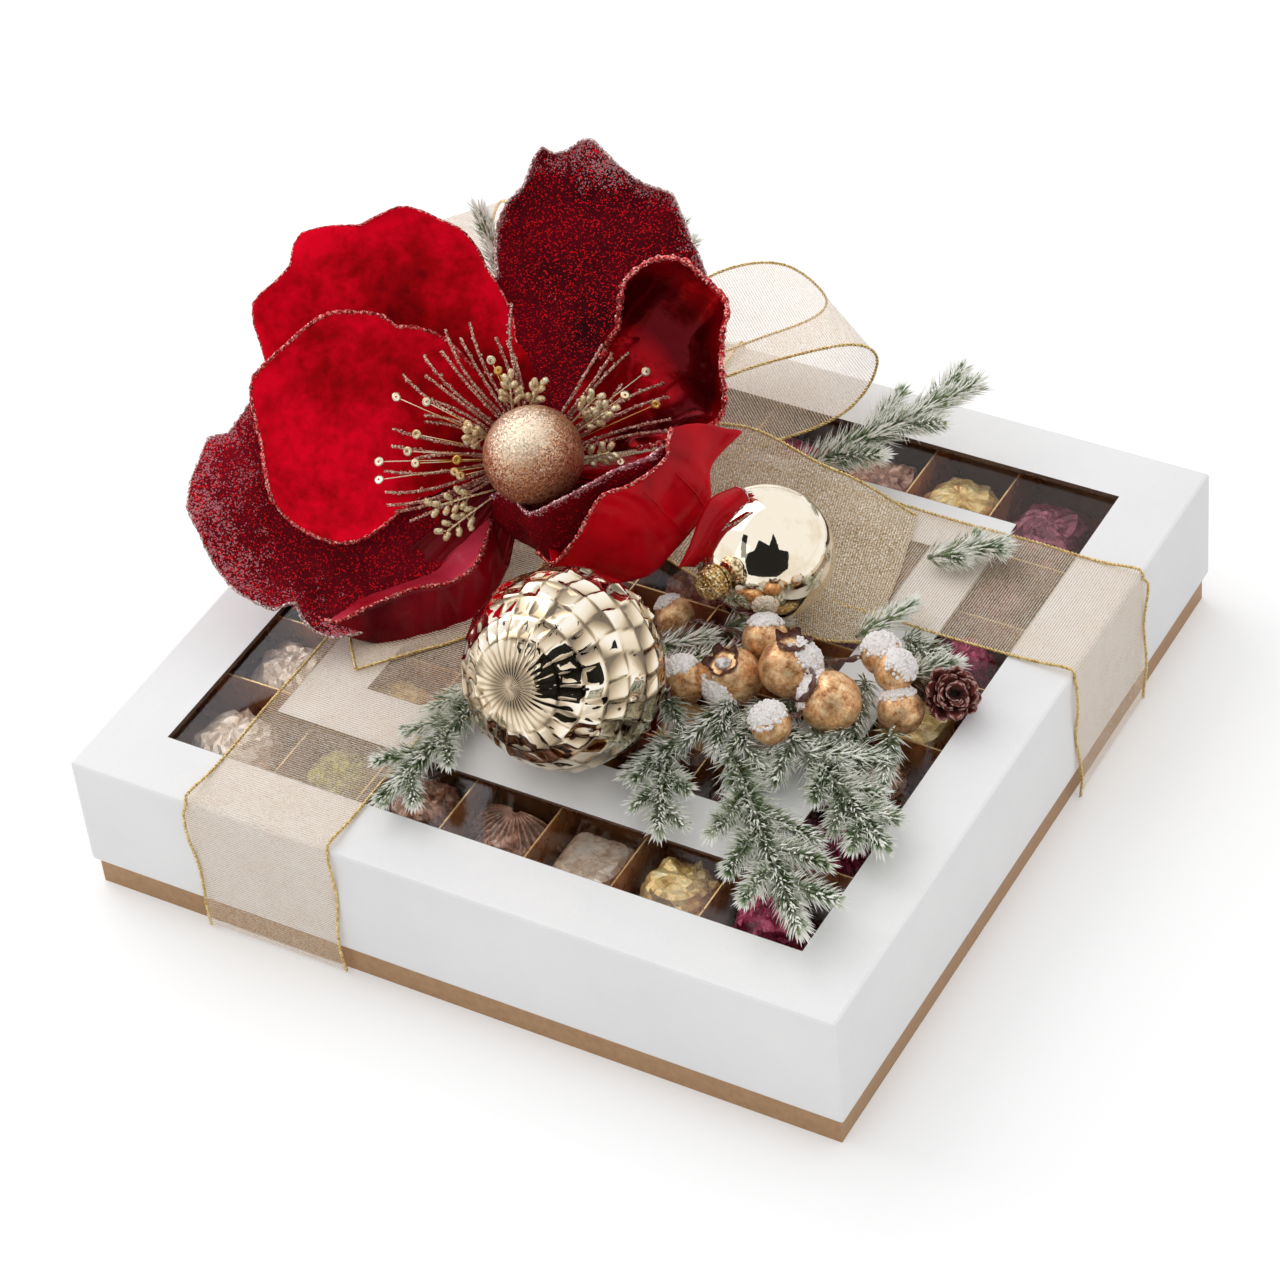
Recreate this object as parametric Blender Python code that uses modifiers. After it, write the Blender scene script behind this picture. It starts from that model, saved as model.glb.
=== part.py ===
"""A square chocolate gift box with a window lid, a ribbon and a flower bouquet.

Metres, +Z up. The origin is the middle of the base's underside. The front of the box is -Y.
The base holds a pad, a card surround, twelve slotted dividers and the chocolates.
The lid holds the window film, a square card frame, the ribbon, the bow and the bouquet,
and it lifts straight up.
"""

import math

import bmesh
import bpy
import numpy as np
from mathutils import Matrix, Vector

# Clearances
SEAT_GAP = 0.0003
HALF_LAP_GAP = 0.0003
CUT_OVERRUN = 0.004
MERGE_DISTANCE = 0.00002

# Lid and base
LID_SIDE = 0.330
LID_TOP = 0.0653
LID_SKIRT_BOTTOM = 0.0130
BOARD = 0.0018
TOP_BOARD = 0.0021
LID_EDGE_ROUND = 0.0014
LID_SLIP = 0.0005
BASE_FLOOR = 0.0020
WINDOW_MARGIN = 0.0275
FILM_OVERLAP = 0.0120
FILM_THICKNESS = 0.0003
FRAME_OUTER_SIDE = 0.2140
FRAME_BAND = 0.0255
FRAME_BOARD = 0.0012

# Inside of the box
PAD_HEIGHT = 0.0245
PAD_SIDE_GAP = 0.0008
CELL_PITCH = 0.0370
CELLS_A_SIDE = 7
DIVIDER_CARD = 0.0006
DIVIDER_HEAD_GAP = 0.0026
SURROUND_CARD = 0.0008
SURROUND_RISE = 0.0010

# Chocolates
CHOCOLATE_SIDE = 0.0270
CHOCOLATE_LOW = 0.0170
CHOCOLATE_TALL = 0.0225
CHOCOLATE_ROUND = 0.0032
BLOCK_TOP_SHARE = 0.92
WRAP_TOP_SHARE = 0.58
TWIST_TURN = math.radians(18)

# Ribbon
RIBBON_WIDTH = 0.0635
RIBBON_CLOTH = 0.0004
CROSSING_X = -0.0790
CROSSING_Y = 0.0660
RIBBON_FLOOR_GAP = 0.0006
RIBBON_HUMP = 0.0340

# Bow
KNOT_HALF_LENGTH = 0.0170
KNOT_HALF_DEPTH = 0.0140
KNOT_HALF_HEIGHT = 0.0090
LOOP_PINCH = 0.0220
LOOP_START = 0.0185
TAIL_CLOTH = 0.0005

# Flower
FLOWER_HEIGHT_SHARE = 0.3304
STEM_FOOT_SHARES = (-0.107, -0.983)
FLOWER_HEADING = math.radians(33.2)
FLOWER_TILT = math.radians(48.35)
FLOWER_ROLL = math.radians(-6.33)
PETAL_REACH = 0.1350
PETAL_THICKNESS = 0.0012
PETAL_STACK_GAP = 0.0004
PETAL_BASE_HALF_WIDTH = 0.0070
PETAL_RUFFLE = 0.0022
RECEPTACLE_RADIUS = 0.0080
RECEPTACLE_FRONT = 0.0017
RECEPTACLE_BACK = 0.0170
STEM_RADIUS = 0.0030
STEM_TIP_RADIUS = 0.0012
FIRST_PETAL_DEPTH = 0.0130
BUD_BALL_RADIUS = 0.0200
STAMEN_THICKNESS = 0.0010
STAMEN_LEVEL = 0.0036
STAMEN_VALLEY = 0.0135
STAMEN_LONG = 0.0680
STAMEN_SHORT = 0.0160
STAMEN_LIFT = 0.0210

# Ornaments
QUILTED_RADIUS = 0.0385
QUILTED_X = 0.0076
QUILTED_INSIDE_FRAME = 0.0058
MIRROR_SIZE_SHARE = 0.20
CAP_RADIUS = 0.0065
CAP_HEIGHT = 0.0060

OBJECT_NAME = "chocolate_gift_box"

# Heights that follow from the sizes above
LID_INNER_SIDE = LID_SIDE - 2 * BOARD
LID_UNDERSIDE = LID_TOP - TOP_BOARD
BASE_SIDE = LID_INNER_SIDE - 2 * LID_SLIP
BASE_INNER_SIDE = BASE_SIDE - 2 * BOARD
BASE_TOP = LID_UNDERSIDE - SEAT_GAP
WINDOW_SIDE = LID_SIDE - 2 * WINDOW_MARGIN
FILM_TOP = LID_UNDERSIDE - SEAT_GAP
FILM_SIDE = WINDOW_SIDE + 2 * FILM_OVERLAP
DIVIDER_TOP = FILM_TOP - FILM_THICKNESS - DIVIDER_HEAD_GAP
SURROUND_TOP = DIVIDER_TOP + SURROUND_RISE
FRAME_BOTTOM = FILM_TOP + SEAT_GAP
FRAME_TOP = FRAME_BOTTOM + FRAME_BOARD
FRAME_INNER_SIDE = FRAME_OUTER_SIDE - 2 * FRAME_BAND
PAD_BOTTOM = BASE_FLOOR + SEAT_GAP
PAD_TOP = PAD_BOTTOM + PAD_HEIGHT
GRID_SIDE = CELL_PITCH * CELLS_A_SIDE
RIBBON_LOW = LID_TOP + SEAT_GAP
RIBBON_TOP = RIBBON_LOW + RIBBON_CLOTH
CROSSING_TOP = RIBBON_TOP + SEAT_GAP + RIBBON_CLOTH
KNOT_CENTRE = Vector((CROSSING_X, CROSSING_Y, CROSSING_TOP + SEAT_GAP + KNOT_HALF_HEIGHT))
STEM_FOOT = KNOT_CENTRE + Vector((KNOT_HALF_LENGTH * STEM_FOOT_SHARES[0],
                                  KNOT_HALF_DEPTH * STEM_FOOT_SHARES[1], 0))
FLOWER_FACING = Vector((math.sin(FLOWER_HEADING) * math.sin(FLOWER_TILT),
                        -math.cos(FLOWER_HEADING) * math.sin(FLOWER_TILT), math.cos(FLOWER_TILT)))
FLOWER_RISE = FRAME_TOP + PETAL_REACH * FLOWER_HEIGHT_SHARE - KNOT_CENTRE.z
FLOWER_CENTRE = STEM_FOOT + FLOWER_FACING * (FLOWER_RISE / FLOWER_FACING.z)
TAIL_MIDDLE = RIBBON_TOP + SEAT_GAP + TAIL_CLOTH / 2
TAIL_TOP = TAIL_MIDDLE + TAIL_CLOTH / 2
MIRROR_RADIUS = PETAL_REACH * MIRROR_SIZE_SHARE


def clear_scene():
    for item in list(bpy.data.objects):
        bpy.data.objects.remove(item, do_unlink=True)


def new_collection(name, hidden=False):
    group = bpy.data.collections.new(name)
    bpy.context.scene.collection.children.link(group)
    group.hide_render = hidden
    return group


clear_scene()
PARTS = new_collection(OBJECT_NAME)
CUTTERS = new_collection("cutters", hidden=True)


def material(name, colour, roughness, metallic=0.0):
    made = bpy.data.materials.get(name) or bpy.data.materials.new(name)
    made.use_nodes = True
    shader = made.node_tree.nodes["Principled BSDF"]
    shader.inputs["Base Color"].default_value = (*colour, 1.0)
    shader.inputs["Roughness"].default_value = roughness
    shader.inputs["Metallic"].default_value = metallic
    made.diffuse_color = (*colour, 1.0)
    return made


WHITE_PAPER = material("white_paper", (0.86, 0.86, 0.86), 0.55)
GOLD_PAPER = material("gold_paper", (0.48, 0.24, 0.07), 0.40, 0.3)
GREY_BOARD = material("grey_board", (0.35, 0.30, 0.26), 0.80)
CLEAR_FILM = material("clear_film", (0.85, 0.86, 0.88), 0.08)
GOLD_CARD = material("gold_card", (0.55, 0.32, 0.12), 0.30, 0.7)
SHEER_RIBBON = material("sheer_ribbon", (0.78, 0.66, 0.48), 0.50, 0.2)
RED_VELVET = material("red_velvet", (0.62, 0.01, 0.02), 0.85)
RED_SATIN = material("red_satin", (0.50, 0.01, 0.02), 0.30)
SUGARED_RED = material("sugared_red", (0.24, 0.02, 0.03), 0.70)
ROSE_GLITTER = material("rose_glitter", (0.66, 0.36, 0.24), 0.40, 0.8)
CHAMPAGNE_GLASS = material("champagne_glass", (0.80, 0.72, 0.56), 0.08, 1.0)
GOLD_METAL = material("gold_metal", (0.72, 0.46, 0.20), 0.25, 1.0)
GOLD_BERRY = material("gold_berry", (0.70, 0.42, 0.18), 0.40, 0.7)
BROWN_CONE = material("brown_cone", (0.20, 0.07, 0.04), 0.80)
FROSTED_NEEDLE = material("frosted_needle", (0.28, 0.36, 0.28), 0.80)
FOILS = {
    "champagne": material("champagne_foil", (0.76, 0.62, 0.46), 0.30, 0.8),
    "gold": material("gold_foil", (0.85, 0.58, 0.20), 0.28, 0.9),
    "magenta": material("magenta_foil", (0.42, 0.03, 0.12), 0.28, 0.8),
    "burgundy": material("burgundy_foil", (0.16, 0.02, 0.04), 0.30, 0.7),
    "lime": material("lime_foil", (0.55, 0.52, 0.08), 0.30, 0.8),
    "bronze": material("bronze_foil", (0.40, 0.24, 0.14), 0.30, 0.8),
}


def add_part(name, mesh, finish, smooth_angle=None, group=None):
    part = bpy.data.objects.new(name, mesh)
    (group or PARTS).objects.link(part)
    mesh.materials.clear()
    mesh.materials.append(finish)
    if smooth_angle is not None:
        mesh.shade_smooth()
        mesh.set_sharp_from_angle(angle=smooth_angle)
    return part


def mesh_from(work, name):
    bmesh.ops.recalc_face_normals(work, faces=work.faces)
    mesh = bpy.data.meshes.new(name)
    work.to_mesh(mesh)
    work.free()
    return mesh


def box_mesh(name, low, high):
    work = bmesh.new()
    bmesh.ops.create_cube(work, size=1.0)
    low = Vector(low)
    high = Vector(high)
    bmesh.ops.scale(work, vec=high - low, verts=work.verts)
    bmesh.ops.translate(work, vec=(low + high) / 2, verts=work.verts)
    return mesh_from(work, name)


def square_box(name, side, bottom, top):
    half = side / 2
    return box_mesh(name, (-half, -half, bottom), (half, half, top))


def cutter(name, mesh):
    tool = bpy.data.objects.new(name, mesh)
    CUTTERS.objects.link(tool)
    tool.hide_render = True
    tool.display_type = "WIRE"
    return tool


def boolean(part, tool, operation="DIFFERENCE"):
    step = part.modifiers.new(operation.lower() + "_" + tool.name, "BOOLEAN")
    step.operation = operation
    step.solver = "EXACT"
    step.object = tool
    return step


def bevel(part, width, segments=2, angle=math.radians(40)):
    step = part.modifiers.new("rounded_edges", "BEVEL")
    step.width = width
    step.segments = segments
    step.limit_method = "ANGLE"
    step.angle_limit = angle
    return step


def solidify(part, thickness):
    step = part.modifiers.new("cloth_or_card", "SOLIDIFY")
    step.thickness = thickness
    step.offset = 0.0
    step.use_even_offset = True
    return step


def sheet_mesh(name, point_at, along, across):
    """An open grid whose corner (u, v), both from 0 to 1, lies where point_at puts it."""
    work = bmesh.new()
    bmesh.ops.create_grid(work, x_segments=along, y_segments=across, size=1.0)
    for corner in work.verts:
        u = (corner.co.x + 1) / 2
        v = (corner.co.y + 1) / 2
        corner.co = point_at(u, v)
    return mesh_from(work, name)


def turned_mesh(name, profile, steps):
    """A profile of (radius, height) pairs, from its top to its bottom, turned about Z."""
    outline = bpy.data.meshes.new(name + "_profile")
    corners = [(radius, 0.0, height) for radius, height in profile]
    edges = [(i, i + 1) for i in range(len(corners) - 1)]
    outline.from_pydata(corners, edges, [])
    turned = bpy.data.objects.new(name + "_turned", outline)
    CUTTERS.objects.link(turned)
    screw = turned.modifiers.new("turn", "SCREW")
    screw.steps = steps
    screw.render_steps = steps
    screw.use_merge_vertices = True
    screw.merge_threshold = MERGE_DISTANCE
    bpy.context.view_layer.update()
    graph = bpy.context.evaluated_depsgraph_get()
    mesh = bpy.data.meshes.new_from_object(turned.evaluated_get(graph))
    bpy.data.objects.remove(turned, do_unlink=True)
    mesh.name = name
    return mesh


def aimed(origin, direction):
    """A matrix that sets +Z of a turned piece along a direction, from a given origin."""
    turn = Vector((0, 0, 1)).rotation_difference(Vector(direction)).to_matrix().to_4x4()
    return Matrix.Translation(origin) @ turn


def smooth_curve(points, share):
    """A point on the Catmull-Rom curve through the given points."""
    spot = share * (len(points) - 1)
    first = min(int(spot), len(points) - 2)
    t = spot - first
    p1 = Vector(points[first])
    p2 = Vector(points[first + 1])
    p0 = Vector(points[first - 1]) if first > 0 else 2 * p1 - p2
    p3 = Vector(points[first + 2]) if first + 2 < len(points) else 2 * p2 - p1
    square = t * t
    cube = square * t
    return 0.5 * (2 * p1 + (p2 - p0) * t + (2 * p0 - 5 * p1 + 4 * p2 - p3) * square
                  + (3 * p1 - p0 - 3 * p2 + p3) * cube)


# Base tray
def make_base_tray():
    tray = add_part("base_tray", square_box("base_tray", BASE_SIDE, 0, BASE_TOP), GOLD_PAPER)
    hollow = square_box("base_hollow", BASE_INNER_SIDE, BASE_FLOOR, BASE_TOP + CUT_OVERRUN)
    boolean(tray, cutter("base_hollow", hollow))
    return tray


# Card surround, a folded channel that holds the grid in the middle of the tray
def make_surround():
    outer = BASE_INNER_SIDE - 2 * PAD_SIDE_GAP
    channel_outer = outer - 2 * SURROUND_CARD
    channel_inner = GRID_SIDE + 2 * SURROUND_CARD
    block = square_box("card_surround", outer, PAD_TOP + SEAT_GAP, SURROUND_TOP)
    surround = add_part("card_surround", block, GOLD_CARD)
    opening = square_box("grid_opening", GRID_SIDE, PAD_TOP - CUT_OVERRUN, SURROUND_TOP + CUT_OVERRUN)
    boolean(surround, cutter("grid_opening", opening))
    channel_top = SURROUND_TOP - SURROUND_CARD
    channel = cutter("surround_channel",
                     square_box("surround_channel", channel_outer, PAD_TOP - CUT_OVERRUN, channel_top))
    core = cutter("surround_core",
                  square_box("surround_core", channel_inner, PAD_TOP - 2 * CUT_OVERRUN,
                             channel_top + CUT_OVERRUN))
    boolean(channel, core)
    boolean(surround, channel)
    return surround


# Dividers: strips of card, slotted halfway so that they cross
def make_divider(name, along_x, offset):
    half_length = GRID_SIDE / 2 - SEAT_GAP
    bottom = PAD_TOP + SEAT_GAP
    half_card = DIVIDER_CARD / 2
    slot_half = half_card + HALF_LAP_GAP
    lap = (bottom + DIVIDER_TOP) / 2
    work = bmesh.new()
    outline = []
    lines = grid_lines()
    if along_x:
        outline += [(-half_length, DIVIDER_TOP), (-half_length, bottom), (half_length, bottom)]
        outline.append((half_length, DIVIDER_TOP))
        for line in reversed(lines):
            outline += [(line + slot_half, DIVIDER_TOP), (line + slot_half, lap - HALF_LAP_GAP / 2)]
            outline += [(line - slot_half, lap - HALF_LAP_GAP / 2), (line - slot_half, DIVIDER_TOP)]
    else:
        outline += [(half_length, bottom), (half_length, DIVIDER_TOP), (-half_length, DIVIDER_TOP)]
        outline.append((-half_length, bottom))
        for line in lines:
            outline += [(line - slot_half, bottom), (line - slot_half, lap + HALF_LAP_GAP / 2)]
            outline += [(line + slot_half, lap + HALF_LAP_GAP / 2), (line + slot_half, bottom)]
    corners = []
    for run, height in outline:
        place = (run, offset - half_card, height) if along_x else (offset - half_card, run, height)
        corners.append(work.verts.new(place))
    face = work.faces.new(corners)
    grown = bmesh.ops.extrude_face_region(work, geom=[face])
    moved = [item for item in grown["geom"] if isinstance(item, bmesh.types.BMVert)]
    thickness = (0, DIVIDER_CARD, 0) if along_x else (DIVIDER_CARD, 0, 0)
    bmesh.ops.translate(work, vec=thickness, verts=moved)
    return add_part(name, mesh_from(work, name), GOLD_CARD)


def grid_lines():
    return [(i - CELLS_A_SIDE / 2) * CELL_PITCH for i in range(1, CELLS_A_SIDE)]


def make_dividers():
    for number, line in enumerate(grid_lines(), start=1):
        make_divider(f"divider_across_{number}", True, line)
        make_divider(f"divider_along_{number}", False, line)


def cell_centre(column, row):
    middle = (CELLS_A_SIDE - 1) / 2
    return (column - middle) * CELL_PITCH, (row - middle) * CELL_PITCH


# Chocolates that show through the window: name, column, row, foil, kind
SHOWN_CHOCOLATES = (
    ("chocolate_left_1", 0, 1, "champagne", "wrap"),
    ("chocolate_left_2", 0, 2, "champagne", "wrap"),
    ("chocolate_front_1", 3, 0, "bronze", "twist"),
    ("chocolate_front_2", 4, 0, "champagne", "block"),
    ("chocolate_front_3", 5, 0, "gold", "wrap"),
    ("chocolate_right_1", 6, 1, "magenta", "twist"),
    ("chocolate_right_2", 6, 5, "burgundy", "wrap"),
    ("chocolate_back_1", 5, 6, "gold", "wrap"),
)


def chocolate_mesh(name, kind):
    """A wrapped sweet that stands on z = 0: a cushion, a flat block or a domed twist."""
    height = CHOCOLATE_LOW if kind == "block" else CHOCOLATE_TALL
    top_share = BLOCK_TOP_SHARE if kind == "block" else WRAP_TOP_SHARE
    work = bmesh.new()
    bmesh.ops.create_cube(work, size=1.0)
    for corner in work.verts:
        share = top_share if corner.co.z > 0 else 1.0
        corner.co = Vector((corner.co.x * CHOCOLATE_SIDE * share,
                            corner.co.y * CHOCOLATE_SIDE * share,
                            (corner.co.z + 0.5) * height))
    if kind == "twist":
        bmesh.ops.rotate(work, verts=work.verts, cent=(0, 0, 0),
                         matrix=Matrix.Rotation(TWIST_TURN, 3, "Z"))
    return mesh_from(work, name)


def make_shown_chocolates():
    for name, column, row, foil, kind in SHOWN_CHOCOLATES:
        sweet = add_part(name, chocolate_mesh(name, kind), FOILS[foil], math.radians(50))
        x, y = cell_centre(column, row)
        sweet.location = (x, y, PAD_TOP + SEAT_GAP)
        bevel(sweet, CHOCOLATE_ROUND, 2)


# Pad with the chocolates that the frame and the bouquet hide
def make_pad():
    side = BASE_INNER_SIDE - 2 * PAD_SIDE_GAP
    pad = add_part("chocolate_pad", square_box("chocolate_pad", side, PAD_BOTTOM, PAD_TOP), GREY_BOARD)
    shown = {(column, row) for _, column, row, _, _ in SHOWN_CHOCOLATES}
    hidden = cutter("hidden_chocolates", hidden_chocolates_mesh(shown))
    boolean(pad, hidden, "UNION")
    return pad


def hidden_chocolates_mesh(shown):
    work = bmesh.new()
    sink = BASE_FLOOR / 2
    for column in range(CELLS_A_SIDE):
        for row in range(CELLS_A_SIDE):
            if (column, row) in shown:
                continue
            x, y = cell_centre(column, row)
            made = bmesh.ops.create_cube(work, size=1.0)["verts"]
            for corner in made:
                share = WRAP_TOP_SHARE if corner.co.z > 0 else 1.0
                corner.co = Vector((x + corner.co.x * CHOCOLATE_SIDE * share,
                                    y + corner.co.y * CHOCOLATE_SIDE * share,
                                    PAD_TOP - sink + (corner.co.z + 0.5) * CHOCOLATE_LOW))
    return mesh_from(work, "hidden_chocolates")


# Lid, film and the frame in the middle of the window
def make_lid():
    shell = add_part("lid_shell", square_box("lid_shell", LID_SIDE, LID_SKIRT_BOTTOM, LID_TOP), WHITE_PAPER)
    bevel(shell, LID_EDGE_ROUND, 2)
    hollow = square_box("lid_hollow", LID_INNER_SIDE, LID_SKIRT_BOTTOM - CUT_OVERRUN, LID_UNDERSIDE)
    boolean(shell, cutter("lid_hollow", hollow))
    window = square_box("lid_window", WINDOW_SIDE, LID_UNDERSIDE - CUT_OVERRUN, LID_TOP + CUT_OVERRUN)
    boolean(shell, cutter("lid_window", window))
    film_low = FILM_TOP - FILM_THICKNESS
    add_part("window_film", square_box("window_film", FILM_SIDE, film_low, FILM_TOP), CLEAR_FILM)
    frame = add_part("window_frame", square_box("window_frame", FRAME_OUTER_SIDE, FRAME_BOTTOM, FRAME_TOP),
                     WHITE_PAPER)
    gap = square_box("frame_gap", FRAME_INNER_SIDE, FRAME_BOTTOM - CUT_OVERRUN, FRAME_TOP + CUT_OVERRUN)
    boolean(frame, cutter("frame_gap", gap))
    return shell


# Ribbon bands: over the lid, down both sides and in over the edge of the base
def make_band(name, along_x, centre, crossing, hump):
    """A band of cloth whose route is a list of (distance along the lid, height of the cloth's middle)."""
    outside = LID_SIDE / 2 + SEAT_GAP + RIBBON_CLOTH / 2
    level = RIBBON_LOW + RIBBON_CLOTH / 2
    corner = LID_EDGE_ROUND + SEAT_GAP + RIBBON_CLOTH / 2
    low = RIBBON_FLOOR_GAP
    corner_drop = corner * (1 - math.sqrt(0.5))
    route = [(-outside, low), (-outside, LID_SKIRT_BOTTOM), (-outside, level - corner)]
    route += [(-outside + corner_drop, level - corner_drop), (-outside + corner, level)]
    if hump:
        flat = RIBBON_WIDTH / 2 + SEAT_GAP
        route += [(crossing - flat - RIBBON_HUMP / 2, level), (crossing - flat, level + hump)]
        route += [(crossing + flat, level + hump), (crossing + flat + RIBBON_HUMP / 2, level)]
    route += [(outside - corner, level), (outside - corner_drop, level - corner_drop)]
    route += [(outside, level - corner), (outside, LID_SKIRT_BOTTOM), (outside, low)]
    count = len(route) - 1

    def point_at(u, v):
        run, height = route[round(u * count)]
        side = centre + (v - 0.5) * RIBBON_WIDTH
        return Vector((run, side, height)) if along_x else Vector((side, run, height))

    band = add_part(name, sheet_mesh(name, point_at, count, 2), SHEER_RIBBON)
    solidify(band, RIBBON_CLOTH)
    return band


def make_ribbon_bands():
    make_band("ribbon_side_to_side", True, CROSSING_Y, CROSSING_X, 0)
    make_band("ribbon_front_to_back", False, CROSSING_X, CROSSING_Y, RIBBON_CLOTH + SEAT_GAP)


# Bow
def make_knot():
    work = bmesh.new()
    bmesh.ops.create_uvsphere(work, u_segments=14, v_segments=8, radius=1.0)
    bmesh.ops.scale(work, vec=(KNOT_HALF_LENGTH, KNOT_HALF_DEPTH, KNOT_HALF_HEIGHT), verts=work.verts)
    knot = add_part("bow_knot", mesh_from(work, "bow_knot"), SHEER_RIBBON, math.radians(50))
    knot.location = KNOT_CENTRE
    return knot


# A loop's route from knot to knot: shares of its reach along the lid and of its height
LOOP_ROUTE_SHARES = ((0.35, 0.66), (0.62, 0.98), (0.87, 0.90), (1.0, 0.48), (0.90, 0.10),
                     (0.62, -0.05), (0.31, -0.07))
LOOP_ENDS_SHARES = (0.10, -0.02)
LOOP_OPENING_SHARE = 0.42
# How far each loop of the bow reaches from the knot, and how high it stands
RIGHT_LOOP_REACH = 0.129
RIGHT_LOOP_HEIGHT = 0.046
BACK_LOOP_REACH = 0.118
BACK_LOOP_HEIGHT = 0.054


def knot_radius(heading, rise):
    """Distance from the knot's axis to its surface, in a heading and at a height."""
    flat = math.hypot(math.cos(heading) / KNOT_HALF_LENGTH, math.sin(heading) / KNOT_HALF_DEPTH)
    return math.sqrt(1 - (rise / KNOT_HALF_HEIGHT) ** 2) / flat


def make_loop(name, heading, reach, height, roll):
    forward = Vector((math.cos(heading), math.sin(heading), 0))
    sideways = Vector((-math.sin(heading), math.cos(heading), 0))
    ends = [(knot_radius(heading, rise * height) + SEAT_GAP + TAIL_CLOTH, rise * height, 0)
            for rise in LOOP_ENDS_SHARES]
    route = [(along * reach, rise * height, 0) for along, rise in LOOP_ROUTE_SHARES]
    route = [ends[0]] + route + [ends[1]]
    root = ends[0][0]

    def point_at(u, v):
        spot = smooth_curve(route, u)
        opened = min(1.0, max(0.0, (spot.x - root) / (reach * LOOP_OPENING_SHARE)))
        width = LOOP_PINCH + (RIBBON_WIDTH - LOOP_PINCH) * math.sin(opened * math.pi / 2)
        lean = roll * math.sin(math.pi * min(1.0, max(0.0, spot.y / height)))
        across = sideways * math.cos(lean) + Vector((0, 0, 1)) * math.sin(lean)
        centre = KNOT_CENTRE + forward * spot.x + Vector((0, 0, spot.y))
        return centre + across * (v - 0.5) * width

    loop = add_part(name, sheet_mesh(name, point_at, 22, 3), SHEER_RIBBON, math.radians(60))
    solidify(loop, TAIL_CLOTH)
    return loop


def three_edge_sheet(name, front, middle, back, along, across):
    """A sheet through three guide curves, no lower than the cloth it lies on."""
    def point_at(u, v):
        a = smooth_curve(front, u)
        b = smooth_curve(middle, u)
        c = smooth_curve(back, u)
        spot = smooth_curve([a, b, c], v)
        spot.z = max(spot.z, TAIL_MIDDLE)
        return spot

    return sheet_mesh(name, point_at, along, across)


RIGHT_TAIL_LENGTH = 0.1500
RIGHT_TAIL_LIFT = 0.0240
# The right tail's two edges and its middle line: shares of its length along the lid (right,
# back) and of its lift
RIGHT_TAIL_FRONT_SHARES = ((0.115, -0.107, 0.12), (0.52, -0.255, 0), (0.92, -0.355, 0), (1.10, -0.32, 0))
RIGHT_TAIL_MIDDLE_SHARES = ((0.122, -0.02, 0.38), (0.50, -0.04, 0.10), (0.80, -0.075, 0), (1.055, -0.06, 0))
RIGHT_TAIL_BACK_SHARES = ((0.115, 0.067, 0.55), (0.47, 0.16, 0.98), (0.77, 0.135, 0.80), (0.99, 0.187, 0))
FRONT_TAIL_LENGTH = 0.1420
FRONT_TAIL_SWING = -0.0110
FRONT_TAIL_WIDTH_SHARES = ((0.11, 0.35), (0.30, 0.85), (0.68, 1.0), (0.88, 0.45), (1.0, 0.05))
FRONT_TAIL_EASE_SHARE = 0.22
FRONT_TAIL_LIFT_SHARE = 0.60


def tail_curve(shares):
    start = Vector((CROSSING_X, CROSSING_Y, TAIL_MIDDLE))
    return [start + Vector((x * RIGHT_TAIL_LENGTH, y * RIGHT_TAIL_LENGTH, z * RIGHT_TAIL_LIFT))
            for x, y, z in shares]


def make_tails():
    mesh = three_edge_sheet("bow_tail_right", tail_curve(RIGHT_TAIL_FRONT_SHARES),
                            tail_curve(RIGHT_TAIL_MIDDLE_SHARES), tail_curve(RIGHT_TAIL_BACK_SHARES), 12, 6)
    solidify(add_part("bow_tail_right", mesh, SHEER_RIBBON, math.radians(60)), TAIL_CLOTH)

    def point_at(u, v):
        run, width = smooth_curve([(a, b, 0) for a, b in FRONT_TAIL_WIDTH_SHARES], u).xy
        ease = max(0.0, 1 - (run - FRONT_TAIL_WIDTH_SHARES[0][0]) / FRONT_TAIL_EASE_SHARE)
        lift = KNOT_HALF_HEIGHT * FRONT_TAIL_LIFT_SHARE * ease * ease
        hump = CROSSING_TOP - RIBBON_TOP if run * FRONT_TAIL_LENGTH < RIBBON_WIDTH else 0
        return Vector((CROSSING_X + FRONT_TAIL_SWING * run + (v - 0.5) * width * RIBBON_WIDTH,
                       CROSSING_Y - run * FRONT_TAIL_LENGTH,
                       TAIL_MIDDLE + hump + lift))

    mesh = sheet_mesh("bow_tail_front", point_at, 9, 2)
    solidify(add_part("bow_tail_front", mesh, SHEER_RIBBON, math.radians(60)), TAIL_CLOTH)


def make_bow():
    make_knot()
    make_loop("bow_loop_right", math.radians(47), RIGHT_LOOP_REACH, RIGHT_LOOP_HEIGHT, math.radians(-11))
    make_loop("bow_loop_back", math.radians(147), BACK_LOOP_REACH, BACK_LOOP_HEIGHT, math.radians(8))
    make_tails()


# Flower. Its own frame: x to its right, y up the tall petal, z out of its face
def flower_frame():
    turn = (Matrix.Rotation(FLOWER_HEADING, 4, "Z") @ Matrix.Rotation(FLOWER_TILT, 4, "X")
            @ Matrix.Rotation(FLOWER_ROLL, 4, "Z"))
    return Matrix.Translation(FLOWER_CENTRE) @ turn


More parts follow.
